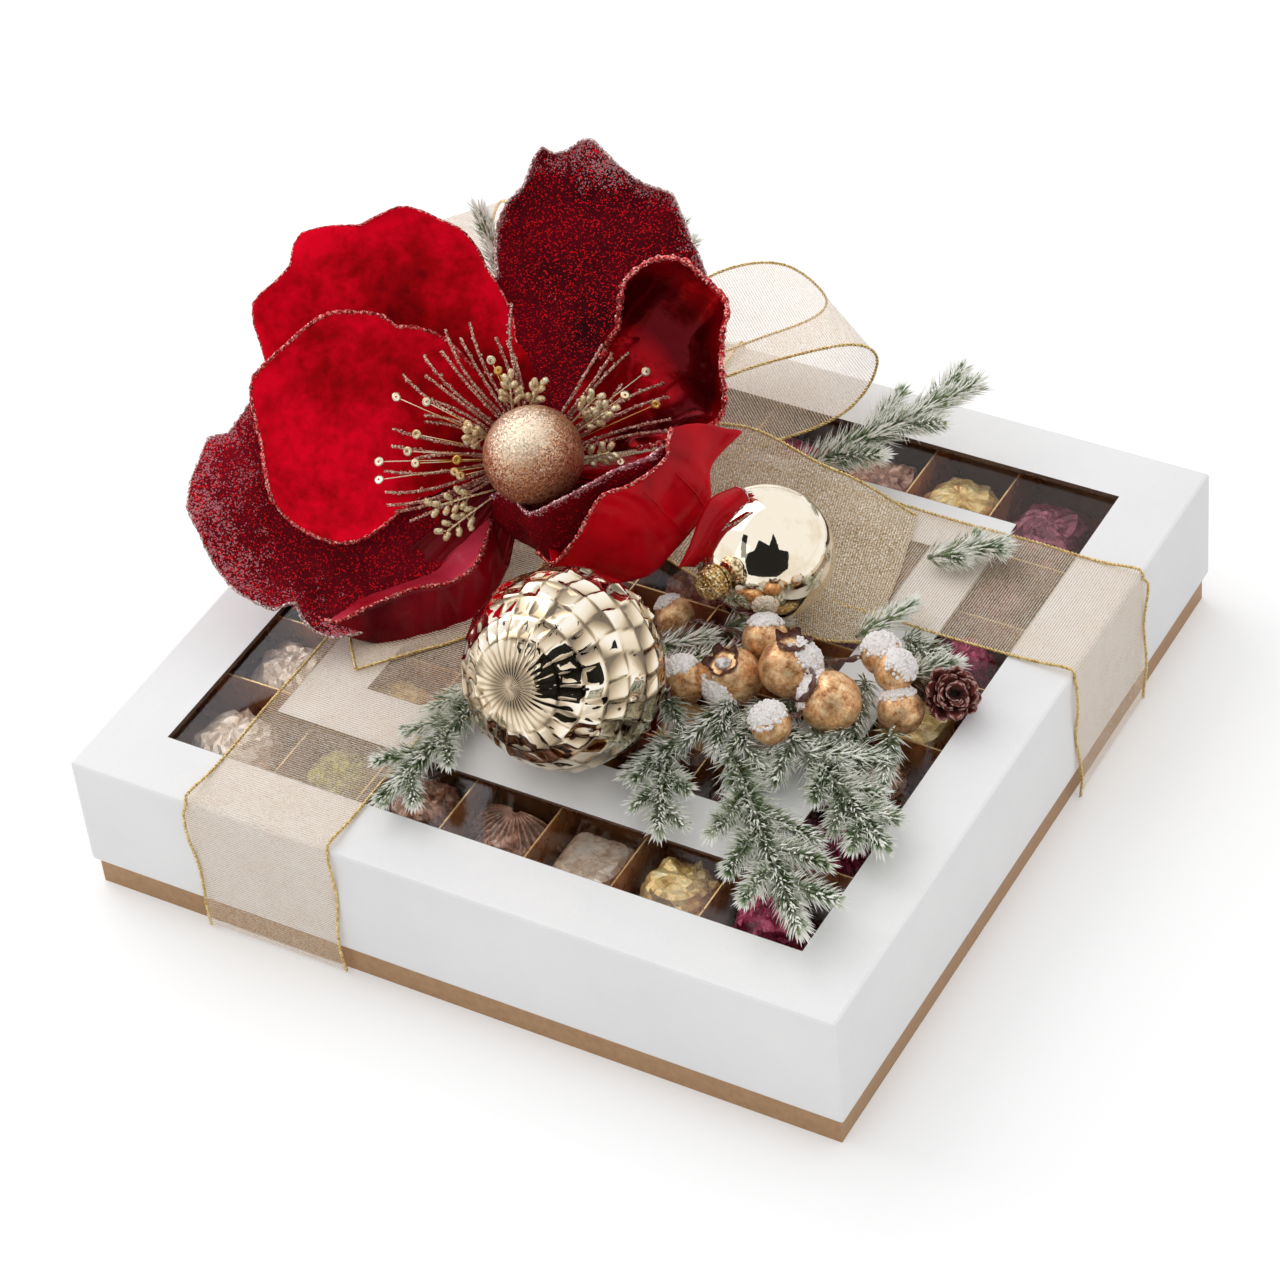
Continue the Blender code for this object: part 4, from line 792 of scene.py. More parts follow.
# %% Tails and knot
TAIL_LEVEL = 0.06655
RIGHT_TAIL, RIGHT_TAIL_LIFT, FRONT_TAIL = 0.1500, 0.0240, 0.1420
RIGHT_TAIL_CUT, FRONT_TAIL_CUT, KNOT_CUT = 0.165, 0.128, 0.090
RIGHT_TAIL_SHARES = (
    ((0.115, -0.107, 0.12), (0.52, -0.255, 0), (0.92, -0.355, 0), (1.10, -0.32, 0)),
    ((0.122, -0.02, 0.38), (0.50, -0.04, 0.10), (0.80, -0.075, 0), (1.055, -0.06, 0)),
    ((0.115, 0.067, 0.55), (0.47, 0.16, 0.98), (0.77, 0.135, 0.80), (0.99, 0.187, 0)),
)
tail_lines = np.array(RIGHT_TAIL_SHARES) * (RIGHT_TAIL, RIGHT_TAIL, RIGHT_TAIL_LIFT) + (*CROSSING, TAIL_LEVEL)


def right_tail(u, v):
    spot = smooth_curve([smooth_curve(line, u) for line in tail_lines], v)
    spot[2] = max(spot[2] + 0.0008 * sin(u * 14 + 3 * v) * v, TAIL_LEVEL)
    return spot


# distance from the knot, and width
FRONT_TAIL_SHARES = ((0.11, 0.35), (0.30, 0.85), (0.68, 1.0), (0.88, 0.45), (1.0, 0.0))


def front_tail(u, v):
    run, width = smooth_curve(FRONT_TAIL_SHARES, u)
    lift = 0.0054 * max(0.0, 1 - (run - 0.11) / 0.22) ** 2
    hump = 0.0007 if run * FRONT_TAIL < RIBBON_WIDTH else 0
    ripple = 0.0003 * (1 + sin(u * 20 + 4 * v))
    return (CROSSING[0] - 0.011 * run + (v - 0.5) * width * RIBBON_WIDTH, CROSSING[1] - run * FRONT_TAIL,
            TAIL_LEVEL + hump + lift + ripple)


def knot_wrap(u, v):
    """The short band that is wound round the middle of the bow, gathered into folds."""
    angle = tau * u
    fold = 1 + 0.05 * sin(v * pi * 8 + 1.5 * sin(angle))
    across = (v - 0.5) * 1.7
    waist = sqrt(max(0.05, 1 - across * across * 0.8)) * fold
    shares = (cos(angle) * waist, across, sin(angle) * waist)
    return [centre + half * 0.98 * share for centre, half, share in zip(KNOT, KNOT_HALVES, shares)]


cloth("organza_tail_right", "bow_tail_right", right_tail, 60, 24,
      DOUBLE_ORGANZA, RIGHT_TAIL_CUT)
cloth("organza_tail_front", "bow_tail_front", front_tail, 60, 14,
      length=FRONT_TAIL_CUT)
cloth("organza_knot", "bow_knot", knot_wrap, 60, 30, DOUBLE_ORGANZA, KNOT_CUT)

# %% [markdown]
# ## The flower's petals
# The flower is as wide as half the box, and it is what the eye goes to. Its petals are wired
# cloth: two of red velvet, one crusted with burgundy sugar grains, one dark and frosted, one of
# lacquered red satin, and three of plain satin in front. Each is a thin sheet that leaves the
# flower's middle, bends back and is cupped. The spine of an open petal is a curve through a root,
# a guide and a tip; its width swells and falls along it; its two sides curl by their own angles.
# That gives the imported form. The real rims are not smooth arcs but wander in and out, so a table
# of rim places then pulls each rim to its own outline, more strongly the nearer a point is to it.

# %% Petal shape
FLOWER = Matrix.Translation((-0.06049, 0.02117, 0.10900)) @ facing(33.2)
PETAL_REACH = 0.1350
RECEPTACLE_RADIUS = 0.0080
PETAL_BASE_HALF = 0.0070
# angle, place in the stack, guide, tip (reach, rise), half width, widest place, curls
PETAL_SHARES = {
    "petal_top": (77, 0, (0.407, -0.222), (0.933, -0.044), 0.311, 0.62, (0.35, 0.35)),
    "petal_low_left": (200, 1, (0.481, -0.045), (1.0, 0.165), 0.320, 0.60, (0.03, 0.5)),
    "petal_upper_left": (134, 2, (0.370, -0.050), (0.90, 0.05), 0.400, 0.60, (0.5, 0.5)),
    "petal_left": (171, 3, (0.370, 0.02), (0.830, 0.145), 0.348, 0.60, (0.5, 0.5)),
    "petal_right": (42, 4, (0.444, -0.037), (0.681, 0.222), 0.267, 0.60, (0.8, 0.8)),
}
# The outline of each rim where it shows: x and y in shares of the petal's reach
RIMS = {
    "petal_upper_left": (
        (-0.788, 0.323), (-0.809, 0.381), (-0.814, 0.439), (-0.78, 0.48), (-0.733, 0.512), (-0.707, 0.552),
        (-0.701, 0.613), (-0.678, 0.651), (-0.62, 0.668), (-0.55, 0.671), (-0.501, 0.671), (-0.442, 0.702),
        (-0.383, 0.727), (-0.331, 0.713), (-0.268, 0.682), (-0.204, 0.651), (-0.164, 0.603), (-0.139, 0.546),
        (-0.101, 0.489), (-0.07, 0.426), (-0.059, 0.346)),
    "petal_top": (
        (-0.108, 0.541), (-0.117, 0.615), (-0.11, 0.69), (-0.083, 0.747), (-0.033, 0.794), (-0.012, 0.855),
        (0.008, 0.902), (0.023, 0.911), (0.049, 0.89), (0.09, 0.895), (0.137, 0.933), (0.166, 0.933),
        (0.201, 0.897), (0.242, 0.857), (0.307, 0.805), (0.359, 0.789), (0.4, 0.774), (0.424, 0.718),
        (0.453, 0.645), (0.488, 0.575), (0.506, 0.522)),
    "petal_left": (
        (-0.396, 0.372), (-0.437, 0.406), (-0.498, 0.414), (-0.584, 0.408), (-0.647, 0.371), (-0.699, 0.325),
        (-0.763, 0.268), (-0.809, 0.222), (-0.814, 0.182), (-0.8, 0.103), (-0.78, 0.022), (-0.767, -0.056),
        (-0.751, -0.129), (-0.705, -0.186), (-0.647, -0.224), (-0.572, -0.252), (-0.508, -0.245),
        (-0.452, -0.21), (-0.396, -0.162), (-0.339, -0.121), (-0.262, -0.085)),
    "petal_right": (
        (0.080, 0.130), (0.140, 0.215), (0.205, 0.300), (0.245, 0.365), (0.250, 0.424), (0.261, 0.49),
        (0.307, 0.533), (0.35, 0.556), (0.422, 0.556),
        (0.479, 0.507), (0.543, 0.455), (0.557, 0.412), (0.539, 0.342), (0.536, 0.258), (0.545, 0.201),
        (0.549, 0.135), (0.532, 0.1)),
    "petal_low_left": (
        (-0.815, 0.173), (-0.844, 0.125), (-0.884, 0.067), (-0.944, 0.055), (-0.962, 0.001), (-0.987, -0.065),
        (-0.996, -0.152), (-0.959, -0.224), (-0.923, -0.307), (-0.874, -0.373), (-0.816, -0.413),
        (-0.745, -0.445), (-0.684, -0.416)),
}


def petal_point(name, u, v):
    """A point of a packed petal in the flower's frame: u from base to tip, v from side to side."""
    angle, place, guide, tip, width_share, widest, curls = PETAL_SHARES[name]
    start = np.array((RECEPTACLE_RADIUS + 0.0003, -0.0130 + place * 0.0016))
    guide, end = np.array(guide) * PETAL_REACH, np.array(tip) * PETAL_REACH
    reach, rise = (1 - u) ** 2 * start + 2 * u * (1 - u) * guide + u * u * end
    slope = 2 * (1 - u) * (guide - start) + 2 * u * (end - guide)
    out_reach, out_rise = np.array((-slope[1], slope[0])) / np.linalg.norm(slope)
    swell = sin(min(1.0, u / widest) * pi / 2)
    if u > widest:
        swell = sqrt(1 - 0.93 * ((u - widest) / (1 - widest)) ** 2.4)
    half = PETAL_BASE_HALF + (PETAL_REACH * width_share - PETAL_BASE_HALF) * swell
    side = 2 * v - 1
    curl = (curls[1] if side > 0 else curls[0]) * min(1.0, 0.15 + 1.10 * u)
    along = half * sin(curl * side) / curl
    lift = half * (1 - cos(curl * side)) / curl
    lift += 0.0022 * sin(5 * side + angle) * u * u * abs(side)
    reach, rise = reach + out_reach * lift, rise + out_rise * lift
    x, y, _ = around(radians(angle), 1)
    return np.array((x * reach - y * along, y * reach + x * along, rise))


def petal_sheet(name, lip=0.0):
    """Gives two functions of u and v: a point of the petal with its real rim, and its rim share."""
    angle = PETAL_SHARES[name][0]
    middle = petal_point(name, 0.52, 0.5)[:2]
    spots = np.linspace(0, 1, 60)
    packed = [petal_point(name, u, 0.0) for u in spots] + [petal_point(name, 1.0, v) for v in spots]
    packed = np.array(packed + [petal_point(name, u, 1.0) for u in spots[::-1]])[:, :2] - middle
    real = np.array(RIMS[name]) * PETAL_REACH - middle
    turn = atan2(*real[len(real) // 2][::-1])

    def from_turn(y, x):
        return (np.arctan2(y, x) - turn + pi) % tau - pi

    def polar(points):
        angles = from_turn(points[:, 1], points[:, 0])
        order = np.argsort(angles)
        return angles[order], np.linalg.norm(points, axis=1)[order]

    packed, real = polar(packed), polar(real)
    low, high = real[0][0], real[0][-1]

    def near(u, v):
        side = abs(2 * v - 1)
        return max(u, side) if u > 0.25 else side * u * 4

    def point_at(u, v):
        spot = petal_point(name, u, v)
        offset = spot[:2] - middle
        way = from_turn(offset[1], offset[0])
        whole = float(np.interp(way, *packed, period=tau))
        pull = float(np.interp(way, *real)) / whole - 1
        pull *= 1.0 - min(1.0, max(0.0, low - way, way - high) / 0.45)
        share = min(1.0, float(np.linalg.norm(offset)) / whole)
        spot[:2] = middle + offset * (1 + pull * share ** 2)
        ruffle = 0.0016 * share ** 4 * sin(9 * atan2(offset[1], offset[0]) + angle)
        spot[2] += ruffle * min(1.0, u * 3)
        spot[2] += 0.0012 * noise.noise(Vector(spot) * 38 + Vector((angle, 0, 0))) * min(1.0, u * 2)
        spot[2] += lip * within((near(u, v) - 0.72) / 0.28) ** 2
        return spot

    return point_at, near


print("petals with a rim of their own:", len(RIMS))

# %% [markdown]
# ## Petal finishes
# Velvet has a short pile: it looks bright where the pile faces you and dark where it leans away,
# and it never shines, so it gets a high roughness, a sheen and broad dark clouds. Satin and the
# lacquered petal shine, so they get a coat. Sugar grains and frost are cells raised over the
# colour, thicker towards the rim. The rim share stored on the mesh steers them. Glitter is tiny
# flat flakes, each with its own tone, its own shine and its own slope.

# %% Petal finishes
def velvet(name, deep, body, bright):
    finish = Finish(name, Roughness=0.9, Sheen_Weight=0.12, Sheen_Roughness=0.4,
                    Sheen_Tint=(1.0, 0.10, 0.20), Specular_IOR_Level=0.08)
    clouds = finish.plus(finish.times(finish.speckle(19, 5, 0.62), 0.75),
                         finish.times(finish.speckle(210, 3, 0.6), 0.25))
    # Painted light over the clouds: brighter towards the rim, and painted shade towards the flower's middle.
    warm = finish.plus(clouds, finish.between(finish.share(), 0.1, 1.0, -0.09, 0.12))
    finish.wear(Base_Color=finish.steps(warm, (0.38, deep), (0.49, body), (0.62, bright)))
    finish.relief(finish.speckle(1300, 3, 0.7), 0.00012, 0.5)
    return finish


def glossy_cloth(name, deep, bright, coat, hollow_shade=None):
    """Satin. With a tone for painted shade in its hollow, it paints that shade between the petal's foot and its
    rim.
    """
    finish = Finish(name, Coat_Weight=coat, Coat_Roughness=0.06, Coat_IOR=1.3,
                    Metallic=0.7 if hollow_shade else 0.0, Specular_IOR_Level=0.12)
    # Painted shade and light of soft folds: the tone wanders by noise between deep and bright.
    tone = finish.steps(finish.speckle(30, 3, 0.5), (0.3, deep), (0.68, bright))
    smooth, rough, dents = 0.24, 0.40, 0.0012
    if hollow_shade:
        smooth, rough, dents = 0.12, 0.24, 0.0016
        # Painted shade in the cup of the lacquered petal, fading out towards the rim.
        rim = finish.share()
        below = finish.between(rim, 0.84, 0.96, 1.0, 0.0)
        tone = finish.blend(finish.times(finish.between(rim, 0.42, 0.66), below), tone, hollow_shade)
    finish.wear(Base_Color=tone, Roughness=finish.between(finish.speckle(120, 3), 0.3, 0.7, smooth, rough))
    finish.relief(finish.speckle(70, 3, 0.5), dents, 0.5)
    return finish


def frosted_cloth(name, deep, body, frost_from, frost, grain_scale, sparks):
    """Burgundy cloth with raised grains: red sparks all over, and frost that thickens to the rim."""
    finish = Finish(name, Roughness=0.6, Specular_IOR_Level=0.10)
    base = finish.steps(finish.speckle(26, 4, 0.6), (0.32, deep), (0.68, body))
    pick = finish.part(finish.grains(grain_scale, "Color"), "X")
    cover = finish.plus(finish.between(finish.share(), frost_from, 1.0, 0.0, 0.75),
                        finish.between(finish.speckle(70, 5, 0.75), 0.45, 0.75, -0.35, 0.35))
    frosted = finish.above(cover, finish.plus(pick, 0.12))
    spark = finish.above(pick, 1.0 - sparks)
    finish.wear(Base_Color=finish.blend(frosted, finish.blend(spark, base, (0.96, 0.12, 0.15)), frost),
                Metallic=finish.times(spark, 0.45))
    finish.relief(finish.sums("SUBTRACT", 1.0, finish.grains(grain_scale)), 0.0006, 0.8)
    return finish


def glitter(name, deep, body, bright, scale=1500, shine=0.75, slope=0.9, painted_light=False):
    """Flakes of glitter. With painted light on, the stored share paints shade where it is low and a highlight
    where it is high.
    """
    finish = Finish(name, Roughness=0.30)
    flake = finish.grains(scale, "Color")
    pick = finish.part(flake, "X")
    tone = finish.steps(pick, (0.15, deep), (0.55, body), (0.92, bright))
    if painted_light:
        # Painted light: painted shade where the share is low, and a painted highlight where it is high.
        left = finish.share()
        tone = finish.blend(left, finish.blend(0.70, tone, deep, "MULTIPLY"), tone)
        tone = finish.blend(finish.between(left, 0.55, 1.0, 0.0, 0.75), tone, bright)
    tilt = finish.add("VectorMath", {0: flake, 1: (0.5, 0.5, 0.5)}, operation="SUBTRACT")
    tilt = finish.add("VectorMath", {0: tilt, "Scale": slope}, operation="SCALE")
    normal = finish.add("VectorMath", {0: finish.add("NewGeometry", output="Normal"), 1: tilt}, operation="ADD")
    finish.wear(Base_Color=tone, Metallic=finish.between(pick, 0.0, 1.0, shine - 0.3, shine),
                Normal=finish.add("VectorMath", {0: normal}, operation="NORMALIZE"))
    return finish


VELVET = velvet("red_velvet_cloth", (0.46, 0.0, 0.03), (0.68, 0.0, 0.05), (0.92, 0.0, 0.14))
# The cup's red satin, made darker as painted shade, for it lies under the flower.
SHADED_SATIN = glossy_cloth("shaded_satin_cloth", (0.28, 0.0, 0.03), (0.56, 0.0, 0.07), 0.15)
FACE_SATIN = glossy_cloth("bright_satin_cloth", (0.48, 0.0, 0.04), (0.86, 0.0, 0.09), 0.22)
# The lip's pink is partly the satin's inner face and partly a painted highlight along the curl.
PINK_SATIN = glossy_cloth("pink_satin_lip", (0.68, 0.06, 0.14), (0.88, 0.26, 0.36), 0.30)
# Its last tone is painted shade inside the lacquered petal's cup.
LACQUER = glossy_cloth("lacquered_red_cloth", (0.46, 0.0, 0.04), (0.86, 0.02, 0.11), 0.12, (0.36, 0.0, 0.04))
SUGAR = frosted_cloth("sugared_burgundy_cloth", (0.34, 0.0, 0.05), (0.58, 0.03, 0.12), 0.60,
                      (0.80, 0.50, 0.53), 2000, 0.12)
FROSTED = frosted_cloth("frosted_dark_cloth", (0.24, 0.0, 0.05), (0.50, 0.0, 0.09), 0.82,
                        (0.74, 0.54, 0.56), 2100, 0.14)
FROSTED_LINING = frosted_cloth("frosted_satin_lining", (0.30, 0.0, 0.04), (0.52, 0.0, 0.07), 0.80,
                               (0.88, 0.64, 0.68), 1900, 0.04)
RED_GLITTER = glitter("red_glitter", (0.45, 0.0, 0.04), (0.85, 0.10, 0.14), (1.0, 0.72, 0.68))
PALE_GLITTER = glitter("pale_glitter", (0.55, 0.36, 0.36), (0.80, 0.66, 0.64), (1.0, 0.96, 0.94))
PINK_GLITTER = glitter("pink_glitter", (0.50, 0.20, 0.24), (0.76, 0.46, 0.50), (1.0, 0.88, 0.88))
print("petal finishes ready")

# %% [markdown]
# ## Making the five open petals
# Each petal is a sheet given 0.9 mm of thickness by a Solidify step. Along its rim runs a thin
# bead of glitter glue: a tube whose radius is uneven, as glue is.

# %% Open petals and their glitter rims
def glue_bead(pile, path, radius, seed):
    """An uneven bead of glue along a path."""
    line, _ = spaced(path, 10, 0.0011)
    pile.tube(line, radius * np.random.default_rng(seed).uniform(0.55, 1.25, len(line)))


def thicken(piece, thickness=0.0009):
    step = piece.modifiers.new("cloth_thickness", "SOLIDIFY")
    step.thickness, step.offset = thickness, 0.0


def sheet_piece(name, sheet, along, across, finish, slot, replaces=None):
    """A thick sheet, from its two functions of u and v. It gives the sheet's points as rows."""
    pile = Pile()
    rows = pile.grid(sheet[0], along, across, sheet[1])
    thicken(pile.piece(name, finish, slot, replaces, place=FLOWER))
    return rows


# finish, rim, slot, radius of the rim's bead, rise of the lip
PETALS = {
    "petal_top": (FROSTED, PALE_GLITTER, "red_velvet", 0.0007, 0.0),
    "petal_low_left": (SUGAR, PALE_GLITTER, "sugared_red", 0.0007, 0.0),
    "petal_upper_left": (VELVET, RED_GLITTER, "red_velvet", 0.0005, 0.0),
    "petal_left": (VELVET, RED_GLITTER, "red_velvet", 0.0009, 0.0),
    "petal_right": (LACQUER, RED_GLITTER, "red_satin", 0.0014, 0.006),
}
for name, (finish, rim_finish, slot, bead, lip) in PETALS.items():
    rows = sheet_piece("cloth_" + name, petal_sheet(name, lip), 56, 56, finish, slot, name)
    edge = np.concatenate([rows[14:, 0], rows[-1, 1:-1], rows[14:, -1][::-1]])
    trim = Pile()
    glue_bead(trim, edge, bead, len(name))
    trim.piece("rim_" + name, rim_finish, slot, place=FLOWER)
print("open petals:", len(PETALS))

# %% [markdown]
# ## The rolled front petals
# Two petals roll forward below the ball, and a third is a cup under the left side. They are not
# simple leaves: one face comes up behind the ball and shows its frosted inside, and the next one
# rolls over in front as a fat red lip. Such a form is easiest as a skin laid through rows of
# places, from the lip down and back to the flower's middle.

# %% Skins through rows of places
# Each place is listed as a point on the photo: its pixel across and down, and its height in the
# flower's frame in millimetres. The photo's line of sight gives the rest.
FOCAL_PIXELS, MIDDLE_PIXEL = 4247.67, 640
CAMERA_PLACE = Vector((0.67954, -1.04852, 1.16402))
SIGHTED_FLOWER = Vector((-0.0605, 0.0212, 0.1090))
INTO_FLOWER = facing(33.2).to_3x3().transposed()
SEEN_ROWS = {
    "front": (
        ((537, 552, 38), (553, 563, 36), (575, 540, 44), (590, 513, 49), (603, 495, 53),
         (626, 487, 54), (650, 473, 53), (667, 456, 52), (668, 442, 52), (672, 428, 50)),
        ((540, 556, 36), (565, 566, 33), (592, 545, 40), (612, 520, 46), (630, 505, 49),
         (650, 497, 50), (668, 482, 49), (680, 462, 48), (684, 444, 48), (690, 424, 46)),
        ((545, 560, 34), (585, 572, 30), (612, 556, 35), (632, 535, 40), (648, 522, 43),
         (664, 512, 44), (682, 497, 43), (694, 474, 43), (698, 450, 44), (708, 424, 42)),
        ((548, 562, 32), (598, 576, 26), (624, 570, 29), (643, 558, 34), (660, 540, 37),
         (676, 525, 38), (692, 508, 38), (703, 485, 39), (706, 460, 40), (724, 428, 38)),
        ((552, 564, 30), (614, 579, 22), (640, 577, 24), (655, 570, 28), (668, 556, 31),
         (684, 538, 32), (698, 520, 33), (708, 500, 34), (709, 466, 36), (741, 432, 34))),
    "lining": (
        ((491, 497, 6), (500, 493, 12), (515, 500, 22), (530, 513, 32), (560, 500, 40),
         (595, 482, 46), (614, 471, 49), (646, 459, 50), (664, 446, 50)),
        ((493, 508, 2), (502, 512, 6), (517, 518, 15), (535, 530, 25), (565, 516, 32),
         (600, 498, 38), (620, 488, 42), (648, 474, 45), (668, 460, 46)),
        ((496, 520, -3), (504, 524, 0), (519, 526, 8), (540, 545, 16), (572, 535, 24),
         (606, 515, 30), (626, 505, 35), (652, 492, 38), (672, 478, 40)),
        ((510, 530, -8), (520, 540, -6), (535, 548, 0), (552, 560, 8), (582, 555, 14),
         (612, 540, 20), (634, 530, 25), (658, 515, 30), (676, 500, 32))),
    "cup": (
        ((300, 600, 9), (329, 604, 9), (366, 594, 4), (400, 581, 0), (434, 570, -3), (458, 544, -4),
         (490, 518, -6)),
        ((294, 606, 13), (333, 622, 17), (368, 607, 14), (413, 589, 10), (450, 582, 8), (477, 563, 6),
         (492, 520, -2)),
        ((300, 612, 13), (342, 632, 14), (375, 632, 12), (415, 620, 10), (452, 612, 7), (486, 585, 3),
         (497, 540, -3)),
        ((310, 612, 9), (355, 636, 9), (388, 644, 8), (427, 647, 6), (457, 640, 4), (484, 612, 0),
         (505, 565, -5)),
        ((330, 610, 3), (365, 625, 2), (395, 628, 1), (430, 630, -1), (460, 622, -3), (490, 598, -6),
         (510, 560, -9))),
    "leaf": (
        ((679, 568, 42), (690, 545, 46), (700, 518, 50), (712, 498, 53), (736, 487, 54)),
        ((684, 566, 44), (700, 548, 49), (712, 525, 53), (724, 508, 56), (744, 490, 56)),
        ((695, 566, 42), (712, 550, 46), (722, 530, 50), (735, 514, 54), (749, 500, 54))),
}


def sighted(across, down, height):
    """Where the line of sight through a pixel meets that height, in shares of the petal's reach."""
    ray = Vector(((across - MIDDLE_PIXEL) / FOCAL_PIXELS, (MIDDLE_PIXEL - down) / FOCAL_PIXELS, -1))
    start = INTO_FLOWER @ (CAMERA_PLACE - SIGHTED_FLOWER)
    ahead = INTO_FLOWER @ VIEW_TURN.to_3x3() @ ray
    return [round(x / PETAL_REACH, 3) for x in start + ahead * ((height * MM - start.z) / ahead.z)]


ROWS = {name: np.array([[sighted(*place) for place in row] for row in rows])
        for name, rows in SEEN_ROWS.items()}


def to_middle(rows, spread, turn, depths):
    """Adds rows from the last one back to the flower's middle, as a petal's foot runs."""
    last = rows[-1]
    angles = turn + spread * (np.arange(len(last)) / (len(last) - 1) - 0.5)
    feet = np.array([around(radians(angle), 0.07, -0.055) for angle in angles])
    return [*rows, *(last * (1 - share) + feet * share - (0, 0, sag) for share, sag in depths)]


WRINKLE, LEAF_WRINKLE = 0.0009, 0.0004


def skin(rows, wrinkle=WRINKLE):
    """Gives a point and a lip share for u and v: a smooth sheet with fine wrinkles from lip to foot."""
    def point_at(u, v):
        spot = smooth_curve([smooth_curve(row, u) for row in rows], v) * PETAL_REACH
        spot[2] += wrinkle * noise.noise(Vector((u * 16, v * 3.0, len(rows) * 1.7)))
        return spot

    return point_at, lambda u, v: 1 - min(1.0, v * 2.2)


front = to_middle(ROWS["front"], 60, 300, ((0.25, 0.05), (0.55, 0.05), (0.82, 0.02), (1.0, 0.0)))
front = sheet_piece("satin_front_petal", skin(front), 72, 44, FACE_SATIN, "red_satin", "petal_front")
lining = to_middle(ROWS["lining"], 90, 285, ((0.35, 0.03), (0.7, 0.02), (1.0, -0.01)))
lining = sheet_piece("frosted_front_lining", skin(lining), 72, 34, FROSTED_LINING, "red_satin")
cup = to_middle(ROWS["cup"][1:], 50, 225, ((0.3, 0.0), (0.65, 0.0), (1.0, 0.0)))
cup = sheet_piece("satin_under_petal", skin(cup), 56, 32, SHADED_SATIN, "red_satin", "petal_under_left")
sheet_piece("satin_under_lip", skin(ROWS["cup"][:2]), 56, 6, PINK_SATIN, "red_satin")
leaf = skin(ROWS["leaf"], LEAF_WRINKLE)
leaf = sheet_piece("satin_leaf_petal", leaf, 24, 10, FACE_SATIN, "red_satin", "petal_leaf")

for name, finish, lines in (("front", RED_GLITTER, [(front[:, 0], 0.0009)]),
                            ("lining", PINK_GLITTER, [(lining[:, 0], 0.0009)]),
                            ("cup", RED_GLITTER, [(cup[:, 0], 0.0010)]),
                            ("leaf", PALE_GLITTER, [(leaf[:, -1], 0.0006), (leaf[-1, :], 0.0005)])):
    trim = Pile()
    for seed, (line, radius) in enumerate(lines, 5):
        glue_bead(trim, line, radius, seed)
    trim.piece("rim_" + name, finish, "red_satin", place=FLOWER)

cord = Pile()
cord.tube(front[40, 4:36] + (0, 0, 0.0007), 0.0005)
cord.tube(front[52, 6:30] + (0, 0, 0.0007), 0.0004)
cord.piece("satin_petal_wires", FACE_SATIN, "red_satin", place=FLOWER)
print("tables of rows:", len(ROWS))

# %% [markdown]
# ## The flower's middle
# A ball covered in copper glitter sits on the receptacle. Round it spread glittering filaments,
# thin strings dipped in glitter, so each is an uneven string of tiny beads on a wire. Flat sequins
# hang among them, and small gold bud sprigs stand close to the ball.

# %% Glitter ball
BALL_RADIUS = 0.0200
BALL_LIFT = 0.0220
# The ball's share is painted light: a painted highlight on the side that faces this way, painted shade on the
# far side.
HIGHLIGHT_WAY = Vector((-0.30, 0.50, 0.80)).normalized()
bud = Pile()
bud.ball((0, 0, BALL_LIFT), lambda way: BALL_RADIUS * (0.988 + 0.010 * noise.noise(way * 9)), 72, 44,
         shares=lambda way: within(1.5 * way.dot(HIGHLIGHT_WAY) - 0.45))
COPPER_GLITTER = glitter("copper_glitter", (0.66, 0.36, 0.20), (0.98, 0.80, 0.60), (1.0, 0.94, 0.84),
                         1900, 0.60, 0.75, True)
bud.piece("glitter_bud_ball", COPPER_GLITTER, "rose_glitter", "flower_ball", place=FLOWER)

# %% Filaments
FILAMENT_FOOT = 0.0090
FILAMENT_LEVEL = -0.0030
FILAMENT_LONG = 0.0610
FILAMENT_LIFT = 0.0200
FILAMENT_STEPS = 13
# first and last angle, and how many
FANS = ((98, 208, 21), (10, 60, 9))


def filament(pile, beads, degrees, reach, lift, seed):
    """A string dipped in glitter, from the receptacle outwards, with uneven beads on it."""
    random = np.random.default_rng(seed)
    bend = random.uniform(-0.10, 0.10)
    run = np.linspace(0, 1, FILAMENT_STEPS)
    path = np.array([around(
        radians(degrees) + bend * sin(share * 3.0), FILAMENT_FOOT + (reach - FILAMENT_FOOT) * share,
        FILAMENT_LEVEL + lift * share + 0.0035 * sin(pi * share)) for share in run])
    pile.tube(path, np.linspace(0.0007, 0.0006, FILAMENT_STEPS))
    for share in np.arange(0.12, 1.0, 0.0021 / reach):
        spot = np.array([np.interp(share, run, axis) for axis in path.T]) + random.normal(0, 0.00030, 3)
        beads.ball(spot, random.uniform(0.0005, 0.00095), 6, 4)


strings, beads = Pile(), Pile()
angles = [degrees for fan in FANS for degrees in np.linspace(*fan)]
for seed, degrees in enumerate(angles, 101):
    random = np.random.default_rng(seed)
    reach = FILAMENT_LONG * random.uniform(0.72, 1.0)
    degrees += random.uniform(-1.5, 1.5)
    lift = FILAMENT_LIFT * reach / FILAMENT_LONG * random.uniform(0.8, 1.0)
    filament(strings, beads, degrees, reach, lift, seed)
FILAMENT_GLITTER = glitter("filament_glitter", (0.48, 0.18, 0.15), (0.80, 0.52, 0.44), (1.0, 0.93, 0.85),
                           2200, 0.5)
strings.piece("filament_strings", FILAMENT_GLITTER, "rose_glitter", "stamen_crown", place=FLOWER)
beads.piece("filament_glitter_beads", FILAMENT_GLITTER, "rose_glitter", place=FLOWER)
print("filaments:", len(angles))

# %% Sequins on hairs
SEQUIN_RADIUS, SEQUIN_HOLE = 0.0019, 0.0005
SEQUIN_SIGHT = 30
